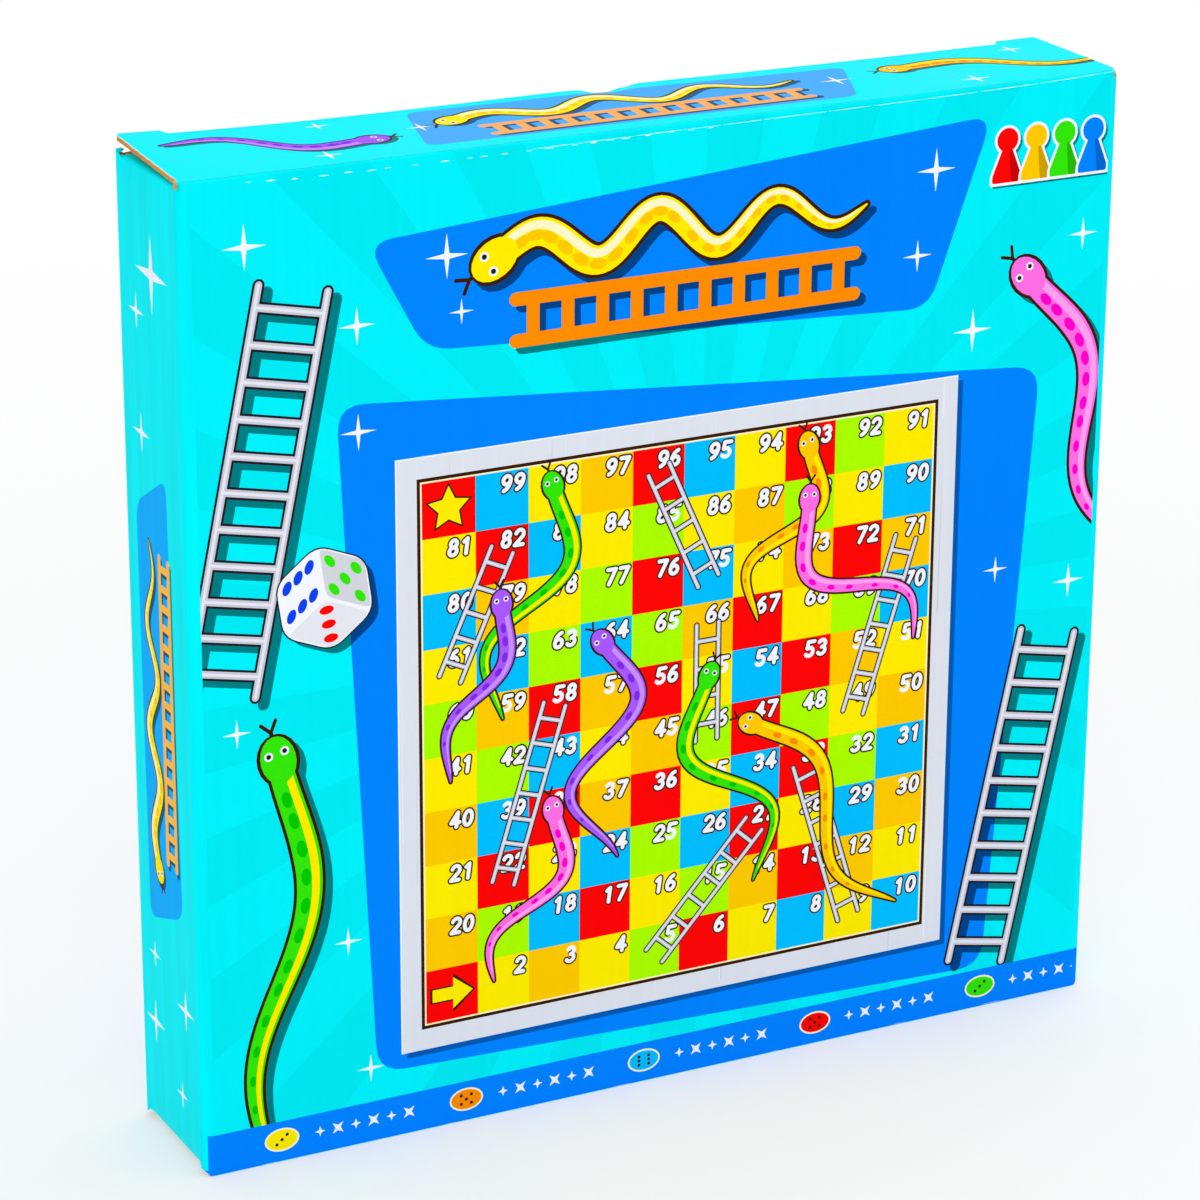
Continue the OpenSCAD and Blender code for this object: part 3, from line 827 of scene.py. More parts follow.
def front_print():
    """The front, laid out from its lower left corner, then moved to the row's frame."""
    art = Art(CYAN, SUN)
    art.panel(BLUE, [(50, 20), (238, 13), (250, 190), (41, 208)], 8)
    art.panel(BLUE, [(66, 219), (214, 211), (232, 262), (50, 249)], 7)
    art.title(88, 217, 106, 37)
    art.sparkles([(72, 243, 6), (215, 249, 6), (76, 228, 3.5), (210, 226, 4.5)])
    board_picture(art, *BOARD_PICTURE)
    art.ladder((8, 135), (30, 240), 19, 11, 2.2, 2.2)
    art.ladder((236, 15), (256, 112), 18, 10, 2.2, 2.2)
    art.snake(wavy((24, 112), (22, -10), 9, 1.0, 60), 8.5, *SKINS["green"], shadow=2.0)
    art.snake(wavy((247, 214), (282, 132), 9, 1.0, 60), 8, *SKINS["pink"], shadow=2.0)
    art.die(37, 157, 29, 8, 2.0)
    for k, colour in enumerate((RED, AMBER, GREEN, BLUE)):
        art.pawn(237 + 9 * k, 243, 15, colour, 0.7)
    art.sparkles([(17, 252, 6), (47, 228, 5), (262, 226, 4.5), (228, 203, 6), (47, 200, 5), (12, 124, 4),
                  (42, 60, 4), (262, 126, 5), (238, 133, 4), (48, 22, 4)])
    art.fill(CYAN, [rectangle(0, -3, 2 * HALF_W, STRIP_HEAD)])
    art.fill(BLUE, [rectangle(0, STRIP_FOOT, 2 * HALF_W, STRIP_HEAD)])
    for k, (colour, pips) in enumerate(STRIP_BADGES):
        x = 22 + 54 * k
        art.fill(CREAM, [oval(x, STRIP_MIDDLE, 5, 3.4)])
        art.fill(colour, [oval(x, STRIP_MIDDLE, 4.5, 2.9)])
        for i, j in PIP_STEPS[pips]:
            art.fill(DARK, [oval(x + 1.5 * i, STRIP_MIDDLE + 1.25 * j, 0.5, steps=8)])
        for n in range(6):
            r = 2.2 if n % 2 else 1.5
            art.fill(WHITE, [star(x + 11 + 5.2 * n, STRIP_MIDDLE, r, 0.35, 4, 45 * (n % 2))])
    art = art.moved(-HALF_W)
    cracks(art, -118, 12, lambda u: crack_line(u) - 0.3, 0.12, (1.1, 2.8), (1.8, 6), (0.1, 0.26), 3)
    cracks(art, -40, CREASE_END, crack_line, 0.04, (9, 20), (0.2, 1), (0.05, 0.12), 4)
    cracks(art, -120, 120, lambda u: STRIP_LOW - 0.3, 0.2, (2, 8), (20, 60), (0.05, 0.1), 9)
    art.fill(BROWN, [oval(CREASE_END - 0.2, STRIP_TOP - 0.3, 0.5, 1.0)])
    return art


def side_print(whole):
    art = Art(CYAN)
    middle = whole / 2 - 1
    art.panel(SIDE_BLUE, [(middle - 11, 62), (middle + 12, 70), (middle + 9, 190), (middle - 12, 178)], 5)
    art.title(middle + 9.5, 80, 90, 20, upright=True, orange=SIDE_ORANGE)
    art.fill(BLUE, [rectangle(whole - 2, STRIP_FOOT, whole, STRIP_HEAD)])
    art.sparkles([(26, 242, 10.5), (15, 230, 5), (16, 198, 5.5), (35, 44, 6), (13, 32, 6.5), (14, 52, 4),
                  (31, 18, 4)])
    return art


def back_print():
    art = Art(CYAN, BACK_SUN)
    art.panel(BLUE, [(-112, 38), (108, 26), (116, 226), (-104, 244)], 9)
    art.fill(FRAME, [rectangle(-76, 62, 76, 208)])
    art.fill(SKY, [rectangle(-72, 66, 72, 204)])
    for k, colour in enumerate((RED, BLUE, YELLOW, GREEN)):
        art.pawn(-50 + 24 * k, 86, 40, colour, 1.6)
    art.die(48, 100, 30, 5, 1.6)
    art.ladder((-60, 152), (60, 152), 20, 12, 2.4, 1.6)
    art.snake(wavy((-56, 184), (58, 184), 7, 2.0, 80), 7, *SKINS["orange"], shadow=1.4)
    art.snake(wavy((-122, 96), (-118, 186), 6, 1.0), 7, *SKINS["purple"], shadow=1.6)
    art.ladder((121, 80), (123, 190), 16, 11, 2.0, 1.6)
    art.sparkles([(-120, 240, 6), (118, 250, 5), (-100, 20, 5), (100, 14, 6), (-124, 60, 4), (126, 40, 5)])
    return art


def lid_print():
    art = Art(CYAN)
    # The top's blue panel and orange ladder are lightened by painted sheen
    art.panel(SHEEN_PAINTED_BLUE, [(-66, -15), (58, -16), (70, 13), (-58, 16)], 4)
    art.title(-48, -12, 98, 26, orange=SHEEN_PAINTED_ORANGE)
    art.snake(wavy((-78, -4), (-128, 9), 5.5, 1.0), 6, *SKINS["purple"], shadow=1.2)
    art.snake(wavy((84, 6), (142, -6), 5, 1.0, 60), 6, *SKINS["orange"], shadow=1.2)
    art.sparkles([(-60, 2, 4), (61, 1, 5), (-92, -13, 4), (-84, 13, 3.5), (96, -13, 4.5), (122, 12, 4)])
    return art


def base_print():
    art = Art(CYAN)
    art.panel(BLUE, [(-110, -14), (104, -16), (112, 12), (-104, 15)], 5)
    for k in range(9):
        art.fill(YELLOW if k % 3 == 1 else WHITE, [star(-84 + 21 * k, 0, 6, 0.3, 4)])
    return art


# Materials
class Shader:
    """Writes one node material: a socket as an input is linked, anything else is set."""

    def __init__(self, owner):
        self.material = bpy.data.materials.new(owner) if isinstance(owner, str) else owner
        self.material.use_nodes = True
        self.tree = self.material.node_tree
        self.tree.nodes.clear()

    def add(self, kind, inputs, out=0, **settings):
        made = self.tree.nodes.new("ShaderNode" + kind)
        for key, value in settings.items():
            setattr(made, key, value)
        for key, value in inputs.items():
            socket = made.inputs[key]
            if isinstance(value, bpy.types.NodeSocket):
                self.tree.links.new(value, socket)
            else:
                socket.default_value = value
        return made.outputs[out] if made.outputs else made

    def place(self):
        """The point in the object's own coordinates, which are the row's frame."""
        return self.add("TexCoord", {}, out=3)

    def math(self, operation, *values):
        return self.add("Math", dict(enumerate(values)), operation=operation)

    def vector(self, operation, *values, out=0):
        return self.add("VectorMath", dict(enumerate(values)), out, operation=operation)

    def length(self, vector):
        return self.vector("LENGTH", vector, out=1)

    def ramp(self, factor, low, high, stops):
        return self.add("MapRange", dict(enumerate((factor, low, high, *stops))))

    def noise(self, vector, scale, detail=3.0, rough=0.5):
        inputs = {"Vector": vector, "Scale": scale, "Detail": detail, "Roughness": rough}
        return self.add("TexNoise", inputs)

    def streaks(self, vector, factors, detail=3.0, rough=0.5):
        """Noise that is stretched where a factor is small."""
        return self.noise(self.vector("MULTIPLY", vector, factors), 1.0, detail, rough)

    def tint(self, colour, factor):
        return self.add("VectorMath", {"Vector": colour, "Scale": factor}, operation="SCALE")

    def mix(self, factor, a, b):
        """Between two linear colours, or sockets of colours."""
        a, b = ((*c, 1) if isinstance(c, tuple) else c for c in (a, b))
        return self.add("Mix", {0: factor, 6: a, 7: b}, out=2, data_type="RGBA")

    def sum(self, a, b, scale=1.0):
        return self.math("MULTIPLY_ADD", a, scale, b)

    def finish(self, colour, rough, height, depth, specular=0.5, **constants):
        bump = self.add("Bump", {"Height": height, "Distance": depth, "Strength": 1.0})
        sockets = {"Base Color": colour, "Roughness": rough, "Normal": bump, "Specular IOR Level": specular}
        surface = self.add("BsdfPrincipled", {**sockets, **constants})
        self.add("OutputMaterial", {"Surface": surface})
        return self.material


def printed_board(name, specular=0.006, pitch=420.0, painted_stripe_shade=0.01):
    """Laminated print on micro-flute: the flutes telegraph through as faint stripes, bumped and with their
    light and shade also painted into the colour.
    """
    s = Shader(name)
    colour = s.add("Attribute", {}, attribute_name="ink")
    sheet = s.add("Attribute", {}, out=1, attribute_name="sheet")
    waves = {"Vector": sheet, "Scale": math.tau / (20 * FLUTE_PITCH * MM), "Distortion": 0.6, "Detail": 1.0}
    ridges = s.add("TexWave", waves, wave_type="BANDS", bands_direction="X", wave_profile="SIN", out=1)
    streaks = s.streaks(sheet, (pitch, 9.0, 1.0))
    cloud = s.noise(sheet, 26.0, 4.0)
    # tone: stripes of painted light and shade along the flutes, times a faint random cloud of tone
    tone = s.sum(s.ramp(streaks, 0.3, 0.7, (-painted_stripe_shade, painted_stripe_shade)), s.ramp(cloud, 0.3, 0.7, (0.99, 1.01)))
    grain = s.noise(sheet, 1800.0, 2.0)
    rough = s.sum(s.ramp(cloud, 0.35, 0.65, (-0.05, 0.06)), s.ramp(streaks, 0.3, 0.7, (0.3, 0.38)))
    height = s.sum(ridges, s.sum(streaks, s.sum(cloud, grain, 2.0), 0.6), 0.35)
    return s.finish(s.tint(colour, tone), rough, height, 0.00002, specular)


def kraft_paper():
    """Brown paper with long fibres and dark flecks."""
    s = Shader("kraft_paper")
    place = s.place()
    fibre = s.streaks(place, (260.0, 260.0, 1400.0), 5.0, 0.65)
    cloud = s.noise(place, 45.0, 4.0)
    fleck = s.ramp(s.noise(place, 900.0, 2.0), 0.66, 0.74, (0.0, 0.7))
    base = s.mix(s.sum(fibre, cloud, 0.6), (0.48, 0.215, 0.04), (0.68, 0.345, 0.09))
    base = s.mix(fleck, base, (0.2, 0.1, 0.04))
    return s.finish(base, s.ramp(fibre, 0.3, 0.7, (0.82, 0.95)), s.sum(fibre, cloud, 0.8), 0.00006, 0.25)


def washed_wood(name, along):
    """Whitewashed wood with its grain along one axis of the row's frame."""
    s = Shader(name)
    place = s.place()
    fine = [900.0, 900.0, 900.0]
    broad = [130.0, 130.0, 130.0]
    fine[along], broad[along] = 14.0, 5.0
    grain = s.streaks(place, fine, 5.0, 0.7)
    bands = s.streaks(place, broad)
    pores = s.ramp(grain, 0.56, 0.68, (0.0, 1.0))
    base = s.mix(s.ramp(bands, 0.3, 0.7, (0.0, 1.0)), (0.66, 0.66, 0.74), (0.84, 0.84, 0.88))
    base = s.mix(s.ramp(grain, 0.4, 0.62, (0.0, 0.35)), base, (0.5, 0.49, 0.55))
    height = s.sum(pores, s.sum(grain, bands, 0.7), -0.6)
    return s.finish(base, s.ramp(grain, 0.3, 0.7, (0.5, 0.68)), height, 0.00012, 0.35)


def chipboard():
    s = Shader("chipboard")
    place = s.place()
    chips = s.add("TexVoronoi", {"Vector": place, "Scale": 520.0}, out=1)
    cloud = s.noise(place, 80.0, 5.0)
    tone = s.add("SeparateColor", {"Color": chips})
    base = s.mix(s.sum(tone, cloud, 0.4), (0.3, 0.22, 0.15), (0.55, 0.44, 0.32))
    return s.finish(base, s.ramp(cloud, 0.3, 0.7, (0.8, 0.94)), s.sum(tone, cloud, 0.5), 0.0001, 0.25)


def gloss_plastic(name, colour):
    """Moulded plastic with faint flow marks and fine scuffs."""
    s = Shader(name)
    place = s.place()
    flow = s.streaks(place, (120.0, 120.0, 40.0))
    scuff = s.streaks(place, (2500.0, 2500.0, 300.0), 4.0, 0.7)
    base = s.tint(colour, s.ramp(flow, 0.3, 0.7, (0.93, 1.05)))
    coat = {"Coat Weight": 0.25, "Coat Roughness": 0.12}
    return s.finish(base, s.ramp(scuff, 0.35, 0.7, (0.2, 0.36)), s.sum(flow, scuff, 3.0), 0.00002, **coat)


def die_plastic():
    """White plastic; the sunk pips are coloured by the pair of faces that they are in."""
    s = Shader("die_plastic")
    low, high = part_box("die")
    half = (high.x - low.x) / 2
    place = s.place()
    local = s.vector("SUBTRACT", place, tuple((low + high) / 2))
    size = s.vector("ABSOLUTE", local)
    x, y, z = (s.add("SeparateXYZ", {0: size}, out=i) for i in range(3))
    sunk = s.math("LESS_THAN", s.math("MAXIMUM", s.math("MAXIMUM", x, y), z), half - 0.00005)
    near = s.math("LESS_THAN", s.length(local), half * 1.36)
    in_x, in_y = (s.math("GREATER_THAN", axis, half * 0.92) for axis in (x, y))
    paint = s.mix(in_y, s.mix(in_x, GREEN, RED), DEEP_BLUE)
    cloud = s.noise(place, 160.0, 3.0)
    body = s.mix(cloud, (0.84, 0.84, 0.86), (0.93, 0.93, 0.94))
    base = s.mix(s.math("MULTIPLY", sunk, near), body, paint)
    coat = {"Coat Weight": 0.3, "Coat Roughness": 0.1}
    return s.finish(base, s.ramp(cloud, 0.3, 0.7, (0.2, 0.32)), cloud, 0.00002, **coat)


LEAFLET_BAND = 0.196


def leaflet_paper():
    """White paper with a printed band along its upper edge."""
    s = Shader("leaflet_paper")
    place = s.place()
    fibre = s.noise(place, 1100.0, 4.0)
    band = s.math("GREATER_THAN", s.add("SeparateXYZ", {0: place}, out=2), LEAFLET_BAND)
    base = s.mix(s.ramp(fibre, 0.3, 0.7, (0.0, 1.0)), (0.86, 0.86, 0.84), (0.93, 0.93, 0.91))
    base = s.mix(band, base, BLUE)
    return s.finish(base, s.ramp(fibre, 0.3, 0.7, (0.55, 0.7)), fibre, 0.00003, 0.3)


# Stage, lamps and camera
CAMERA_PLACE = Vector((-525.2, -1013.0, 551.9)) * MM
CAMERA_AZIMUTH, CAMERA_ELEVATION, CAMERA_ROLL = -27.0, 20.15, 0.29
FOCAL_PX = 4498
SENSOR_MM = 36.0
FLOOR_REACH = 6.0
WORLD_LEVEL = 0.7
LAMP_SIZE = 1.8
LAMPS = (
    ("overhead", (0.55, 0.2, 2.0), (0, 0, 0.15), 11),
    ("front_fill", (-1.2, -1.8, 1.2), (0, 0, 0.13), 15.5),
)


def add_camera():
    data = bpy.data.cameras.new("camera")
    data.sensor_width = SENSOR_MM
    data.lens = FOCAL_PX / IMAGE_PX * SENSOR_MM
    camera = linked("camera", data)
    turns = (CAMERA_AZIMUTH, "Z"), (90 - CAMERA_ELEVATION, "X"), (CAMERA_ROLL, "Z")
    pan, tilt, roll = (Matrix.Rotation(math.radians(angle), 4, axis) for angle, axis in turns)
    camera.matrix_world = Matrix.Translation(CAMERA_PLACE) @ pan @ tilt @ roll
    bpy.context.scene.camera = camera


def seen_directly(s):
    """1 for a ray from the camera, a reflection or a clear surface, and 0 for light on a surface."""
    camera, glossy, clear = (s.add("LightPath", {}, out="Is %s Ray" % kind)
                             for kind in ("Camera", "Glossy", "Transmission"))
    return s.math("MAXIMUM", s.math("MAXIMUM", camera, glossy), clear)


def add_floor():
    """A pale floor that keeps the shadow near the object and fades to plain white far off."""
    mesh = bpy.data.meshes.new("floor")
    corners = rectangle(-FLOOR_REACH, -FLOOR_REACH, FLOOR_REACH, FLOOR_REACH)
    mesh.from_pydata([(x, y, 0) for x, y in corners], [], [(0, 1, 2, 3)])
    floor = linked("floor", mesh)
    s = Shader("pale_floor")
    far = s.ramp(s.length(s.place()), 0.1, 0.9, (0.4, 1.0))
    white = s.add("Emission", {"Color": (1, 1, 1, 1), "Strength": 1.0})
    paint = s.add("BsdfDiffuse", {"Color": (0.93, 0.94, 0.94, 1)})
    share = s.math("MULTIPLY", far, seen_directly(s))
    s.add("OutputMaterial", {"Surface": s.add("MixShader", {0: share, 1: paint, 2: white})})
    mesh.materials.append(s.material)


def add_lamp(name, place, target, power):
    data = bpy.data.lights.new(name, "AREA")
    data.shape = "DISK"
    data.size = LAMP_SIZE
    data.energy = power
    lamp = linked(name, data)
    lamp.location = place
    lamp.rotation_euler = (Vector(target) - Vector(place)).to_track_quat("-Z", "Y").to_euler()


def add_world():
    """An even light from all around, which looks plain white."""
    bpy.context.scene.world = bpy.data.worlds.new("studio")
    s = Shader(bpy.context.scene.world)
    strength = s.ramp(seen_directly(s), 0.0, 1.0, (WORLD_LEVEL, 1.0))
    back = s.add("Background", {"Color": (1, 1, 1, 1), "Strength": strength})
    s.add("OutputWorld", {"Surface": back})


# Pieces
KRAFT = kraft_paper()
BOARD = (printed_board("laminated_print"), KRAFT)
# The sides get broader, stronger stripes of painted shade
SIDE_BOARD = (printed_board("laminated_side_print", pitch=190.0, painted_stripe_shade=0.06), KRAFT)
SHEET = (printed_board("matt_print", 0.3), KRAFT)


def make_front():
    piece = Piece(place_front)
    top, low = STRIP_TOP, STRIP_LOW
    outline = [
        (CREASE_END, low - WRAP), (CREASE_END, low), (HOOK_END, WALL_LOW), (FOLD, WALL_LOW),
        (FOLD, WALL_TOP), (HOOK_END, WALL_TOP), (CREASE_END, top), (CREASE_END, top + WRAP),
        (-HOOK_END, top + WRAP), (-HOOK_END, WALL_TOP), (-FOLD, WALL_TOP),
        (-FOLD, WALL_LOW), (-HOOK_END, WALL_LOW), (-CREASE_END, low), (-CREASE_END, low - WRAP),
    ]
    lines = levels(spread(top, top + WRAP, 9), -HALF_W, HALF_W)
    lines += levels(spread(low - WRAP, low, 9), -HALF_W, HALF_W)
    for way in (-1, 1):
        spots = [way * s for s in fold_spots(HOOK_END)]
        lines += uprights(spots, WALL_TOP, top + WRAP) + uprights(spots, low - WRAP, WALL_LOW)
    piece.liner(outline, front_print(), lines)
    piece.kraft_liner(list(dict.fromkeys((u, min(max(v, low), top)) for u, v in outline)), lines)
    piece.flutes(rectangle(-FOLD + 0.1, WALL_LOW + 0.2, FOLD - 0.1, WALL_TOP - 0.2))
    hook = []
    for t in HOOK_STEPS:
        x = -HOOK_END + HOOK_STUB * (1 - 2 * t)
        y = LID_PIVOT.y + curl(HOOK_END) * (1 - t)
        section = oval(0, 0, BEAD_R * (0.9 + 0.35 * math.sin(math.pi * t)), steps=16)
        hook.append([(x, y + p, LID_PIVOT.z - 0.3 * t + q) for p, q in section])
    piece.tube(hook)
    for z, left in ((LID_PIVOT.z, HOOK_END), (BOX_H - LID_PIVOT.z, CREASE_END)):
        spots = [-s for s in fold_spots(left - 0.1)[::-1]] + fold_spots(CREASE_END - 0.15)
        piece.bead([Vector((u, LID_PIVOT.y + curl(u), z)) for u in spots])
    piece.finish("front_panel_board", "carton", ["front_panel"], BOARD)


def make_side(name, node, rear_y, flip, rise):
    """A side panel with both its upright folds. Its rear upper corner stands higher by rise."""
    place, whole = side_place(rear_y)
    piece = Piece(place, flip)
    high, low = DUST_PIVOT.z, BOX_H - DUST_PIVOT.z
    ahead = whole - CORNER_ARC
    climb = CORNER_DIP + rise
    rear = [(CORNER_ARC * k / 10, WALL_TOP - CORNER_DIP + climb * smooth(k / 5)) for k in range(11)]
    outline = [(0, WALL_LOW), (CORNER_ARC, WALL_LOW), (CORNER_ARC + 0.01, low), (ahead - 0.01, low),
               (ahead, WALL_LOW), (whole, WALL_LOW), (whole, WALL_TOP), (ahead, WALL_TOP),
               (ahead - 0.01, high), (CORNER_ARC + CORNER_STEP, high)] + rear[::-1]
    lines = []
    for start, end, count in ((0, CORNER_ARC, 6), (ahead, whole, 6), (CORNER_ARC, CORNER_ARC + LEAN_RUN, 3),
                              (ahead - LEAN_RUN, ahead, 3)):
        lines += uprights(spread(start, end, count), -1, BOX_H + 1)
    lines += levels(spread(high - LEAN_REACH, high - 0.5, 6), 0, whole)
    lines += levels(spread(low + 0.5, low + LEAN_REACH, 6), 0, whole)
    if rise > 0:
        lines += levels(spread(high, WALL_TOP + rise, 4), 0, CORNER_ARC + CORNER_STEP)
    piece.liner(outline, side_print(whole), lines, edge=CYAN)
    rim = [(FOLD_R - LINER_T - inward, WALL_TOP + rise - down) for inward, down in RIM]
    piece.tube([[(-HALF_W + FOLD_R - r * math.cos(a), rear_y + r * math.sin(a), z) for r, z in rim]
                for a in np.linspace(0, math.pi * 0.4, 8)], CYAN, PRINT_SLOT)
    limits = {u: high if CORNER_ARC < u < ahead else WALL_TOP - INNER_DIP for u, _ in outline}
    piece.kraft_liner([(u, min(v, limits[u])) for u, v in outline], lines)
    flat = LEAN_REACH + 2
    for start, end, lower, upper in (
            (0, CORNER_ARC, 0, 2.5), (CORNER_ARC, ahead, flat, flat), (ahead, whole, 0, 1.6)):
        piece.flutes(rectangle(start, WALL_LOW + 0.2 + lower, end, WALL_TOP - upper))
    bead = [(0, 0)] + arc(0, 0, BEAD_R * 0.95, BEAD_R * 0.95, -95, 40, 8)
    for z, upward in ((high, 1), (low, -1)):
        piece.tube([[(DUST_PIVOT.x + p, y, z + q * upward) for p, q in bead]
                    for y in (-HALF_D + FOLD_R + 0.1, rear_y - 0.1)], CYAN, PRINT_SLOT)
    piece.finish(name, "carton", [node], SIDE_BOARD)


def make_back():
    """The back, with a thumb notch in the middle of each end."""
    piece = Piece(lambda u, v, depth: (-u, HALF_D - depth, v))
    left, right = -BACK_HIGH.x, -BACK_LOW.x
    outline = [(left, WALL_LOW)] + arc(0, WALL_LOW, THUMB_R, THUMB_R, 180, 0, 18) + [(right, WALL_LOW)]
    outline += [(right, WALL_TOP - CORNER_DIP), (right - 6, WALL_TOP - 0.3), (right - 14, WALL_TOP)]
    outline += arc(0, WALL_TOP, THUMB_R, THUMB_R, 0, -180, 18) + [(left, WALL_TOP)]
    piece.liner(outline, back_print())
    piece.kraft_liner(outline)
    piece.flutes([(u, min(max(v, WALL_LOW + 0.15), WALL_TOP - 0.95)) for u, v in outline])
    piece.finish("back_panel_board", "carton", ["back_panel"], BOARD)


def make_glue_flap():
    piece = Piece(lambda u, v, depth: (-u, BACK_LOW.y - depth, v))
    low, high = box_mm("glue_flap")
    slant = GLUE_SLANT * (high.x - low.x)
    outline = [(-high.x, low.z), (-low.x, low.z + slant), (-low.x, high.z - slant), (-high.x, high.z)]
    piece.liner(outline, Art(PAPER))
    piece.kraft_liner(outline)
    piece.flutes(outline)
    piece.finish("glue_flap_board", "carton", ["glue_flap"], BOARD, "insert_board")


def make_lid(end, flip, art, dents, left_half, half, sprung):
    """A lid with its ears, and the bead of its tuck crease. left_half and half are how far it reaches."""
    piece = Piece(lid_place(dents, sprung), flip)
    tuck = TUCK_HIGH.x
    ear = tuck + 0.4
    back, front, slot = HALF_D, LID_PIVOT.y, TUCK_PIVOT.y + 0.1
    wear = 0.28 if sprung else 0.1
    worn = back - EAR_WORN_TO
    right = [(min(CREASE_END, half), front + HINGE_GAP), (half, front + EAR_CUT)]
    right += ragged((half, front + EAR_WORN_FROM), (half, worn), WEAR_STEP, wear * 0.6, 11)
    right += [(half - 0.5, back), (ear + BOARD_T, back), (ear, slot), (tuck, slot)]
    left = [(-tuck, slot), (-ear, slot), (-ear - BOARD_T, back), (-left_half + 0.5, back)]
    left += ragged((-left_half, worn), (-left_half, front + EAR_CUT), WEAR_STEP, wear, 12)
    left.append((-min(HOOK_END if sprung else CREASE_END, left_half), front + HINGE_GAP))
    outline = right[:-1] + [(tuck, TUCK_PIVOT.y + TURN), (-tuck, TUCK_PIVOT.y + TURN)] + left[1:]
    bends = levels(spread(front + HINGE_GAP, front + HINGE_FULL, 3), -half, half)
    for way in (-1, 1):
        bends += uprights([way * s for s in fold_spots(HOOK_END)], front, front + CURL_FADE)
        bends += levels(spread(front, front + CURL_FADE, 6), way * FOLD, way * half)
    if sprung:
        bends += uprights(spread(-half, half, 40), front, back)
        bends += levels(spread(front, back, 8), -half, half)
    lines = bends + levels(spread(TUCK_PIVOT.y, TUCK_PIVOT.y + TURN, 7), -tuck, tuck)
    for at, wide, start, _ in dents:
        west, east = at - DENT_REACH * wide, at + DENT_REACH * wide
        lines += uprights(spread(west, east, 16), start, TUCK_PIVOT.y + TURN)
        lines += levels(spread(start, TUCK_PIVOT.y, 6), west, east)
    piece.liner(outline, art, lines, seam=front + HINGE_GAP + 0.01)
    core = front + BEAD_R + CREASE_GAP
    inner = [(x, y) for x, y in right + left if y > core + 0.1]
    piece.kraft_liner([(half - 0.5, core)] + inner + [(-left_half + 0.5, core)], bends)
    for x0, x1, rear in ((-left_half + 0.5, -ear - BOARD_T, back - 0.1), (-ear, ear, TUCK_PIVOT.y),
                         (ear + BOARD_T, half - 0.5, back - 0.1)):
        piece.flutes(rectangle(x0, core + 0.1, x1, rear))
    stations = [*np.linspace(core + 0.05, core + CURL_FADE, 6), *np.linspace(core + 8, back - 0.5, 8)]
    for x in (-left_half + 0.3, half - 0.45):
        section = rectangle(x, LINER_T, x + 0.15, BOARD_T - LINER_T)
        piece.tube([[piece.place(u, v, depth) for u, depth in section] for v in stations])
    spots = list(np.linspace(-tuck + 0.1, tuck - 0.1, 37))
    spots += [at + wide * k / 4 for at, wide, _, _ in dents for k in range(-9, 10)]
    shifts = [(u, 0, piece.place(u, TUCK_PIVOT.y, 0)[2] - BOX_H) for u in sorted(spots)]
    piece.bead([TUCK_PIVOT + Vector(shift) for shift in shifts])
    piece.finish(end + "_lid_board", end + "_lid", [end + "_lid"], BOARD)


def make_tuck(end, flip, dents, sprung):
    piece = Piece(tuck_place(dents, sprung), flip)
    half, low, top = TUCK_HIGH.x, TUCK_LOW.z, TUCK_PIVOT.z

    def shape(upper):
        cut = upper - SLIT_W
        return ([(half, cut), (SLIT_FROM, cut), (SLIT_FROM, upper), (-SLIT_FROM, upper), (-SLIT_FROM, cut),
                 (-half, cut)]
                + arc(-half + TUCK_R, low + TUCK_R, TUCK_R, TUCK_R, 180, 270, 8)
                + arc(half - TUCK_R, low + TUCK_R, TUCK_R, TUCK_R, 270, 360, 8))

    lines = []
    if sprung:
        lines += levels(spread(low, top, 6), -half, half)
        lines += uprights(spread(-SLIT_FROM, SLIT_FROM + SLIT_FADE, 36), low, top)
    for at, wide, _, _ in dents:
        lines += uprights(spread(-at - DENT_REACH * wide, -at + DENT_REACH * wide, 16), low, top)
    piece.liner(shape(top), Art(CYAN), lines)
    piece.kraft_liner(shape(top - TUCK_INNER_DROP), lines)
    piece.flutes(rectangle(-half + 1, low + TUCK_R, half - 1, top - 1.5 - SLIT_W))
    piece.flutes(rectangle(-half + TUCK_R, low + 0.3, half - TUCK_R, low + TUCK_R))
    name = end + "_tuck_flap"
    piece.finish(name + "_board", name, [name], BOARD)


def make_dust(name, flip):
    piece = Piece(place_dust, flip, across=1)
    length = DUST_HIGH.x - DUST_PIVOT.x
    near, far = DUST_LOW.y, DUST_HIGH.y
    slope = DUST_TAPER / length

    def shape(start, inset=0.0):
        bend = length - DUST_R * 0.6
        tip = arc(length - DUST_R - inset, far - DUST_R - inset, DUST_R, DUST_R, 0, 90, 6)
        return [(start, near + slope * start + inset), (bend, near + slope * bend + inset),
                (length - inset, near + DUST_TAPER + 1.5), *tip, (start, far - inset)]

    lines = uprights(spread(0.01, 2.5 * LEAN, 5), -HALF_D, HALF_D)
    core = BEAD_R + CREASE_GAP
    piece.liner(shape(0.0), Art(CYAN), lines)
    piece.kraft_liner(shape(core), lines)
    piece.flutes(shape(core + 1.2, 0.15), 1)
    piece.finish(name + "_board", name, [name], BOARD)


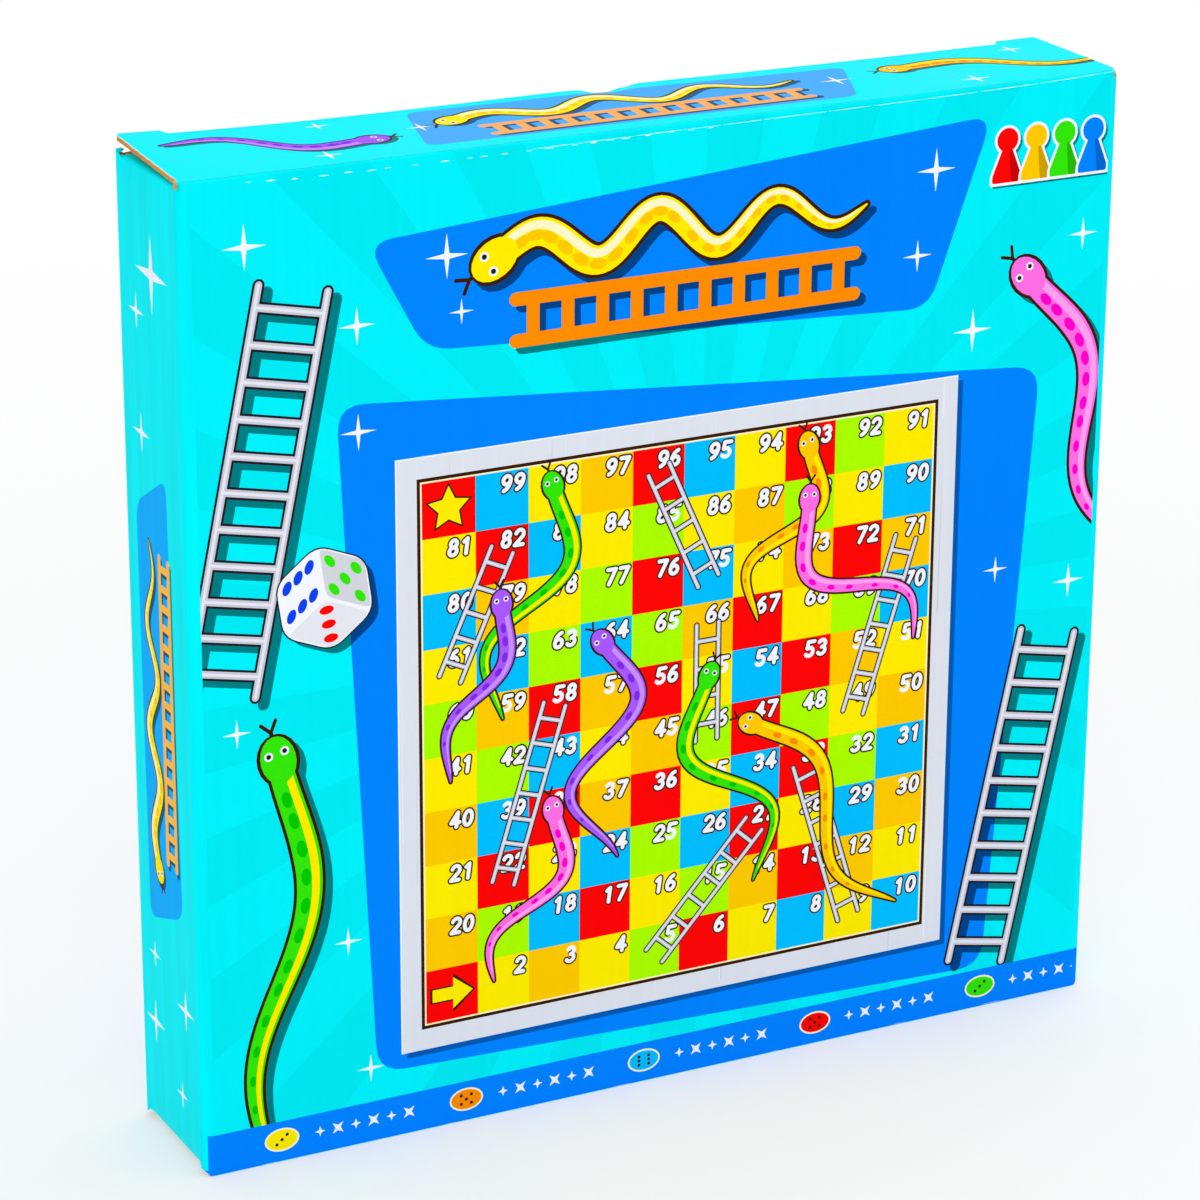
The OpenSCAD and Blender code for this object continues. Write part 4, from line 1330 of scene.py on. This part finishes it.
def make_playfield():
    """The printed sheet of the real board, with the same field as its picture on the carton."""
    low, high = box_mm("playfield_sheet")
    art = Art(CREAM)
    width, height = high.x - low.x, high.z - low.z
    size = min(width, height) - 2.4
    for inset, colour in ((0.6, DARK), (0.95, CREAM)):
        art.fill(colour, [rectangle(inset, inset, width - inset, height - inset)])
    art.field((width - size) / 2, (height - size) / 2, size)
    piece = Piece(lambda u, v, depth: (low.x + u, low.y + depth, low.z + v))
    piece.liner(rectangle(0, 0, width, height), art, far=high.y - low.y)
    piece.finish("playfield_print", "carton", ["playfield_sheet"], SHEET, "playfield_print")


def dress(node, material):
    mesh = frame["nodes"][node].data
    mesh.materials.clear()
    mesh.materials.append(material)


bpy.context.scene.view_settings.view_transform = "Standard"
add_camera()
add_floor()
add_world()
for lamp in LAMPS:
    add_lamp(*lamp)

make_front()
make_side("left_side_board", "left_side_panel", HALF_D - FOLD_R, (1, 1), 0.8)
make_side("right_side_board", "right_side_panel", RIGHT_REAR - FOLD_R, (-1, 1), -0.3)
make_back()
make_glue_flap()
for end, upward, art, dents, insets in (
        ("top", 1, lid_print(), DENTS, (LID_INSET, 0)),
        ("bottom", -1, base_print(), (), (BASE_INSET, BASE_INSET))):
    sprung = end == "top"
    make_lid(end, (1, upward), art, dents, *(HALF_W - inset for inset in insets), sprung)
    make_tuck(end, (1, upward), dents, sprung)
    make_dust(end + "_left_dust_flap", (1, upward))
    make_dust(end + "_right_dust_flap", (-1, upward))
make_playfield()

for axis, name, rails in (
        (0, "washed_wood_across", ("top", "bottom")), (2, "washed_wood_upright", ("left", "right"))):
    wood = washed_wood(name, axis)
    for rail in rails:
        dress("board_%s_rail" % rail, wood)
dress("board_backing", chipboard())
for node in frame["nodes"]:
    if node.startswith(("insert_", "well_")):
        dress(node, KRAFT)
dress("die", die_plastic())
for name, code in (("red", "E01010"), ("blue", "0A50F0"), ("yellow", "FFD200"), ("green", "12B020")):
    dress("pawn_" + name, gloss_plastic(name + "_plastic", ink(code)))
dress("rules_leaflet", leaflet_paper())
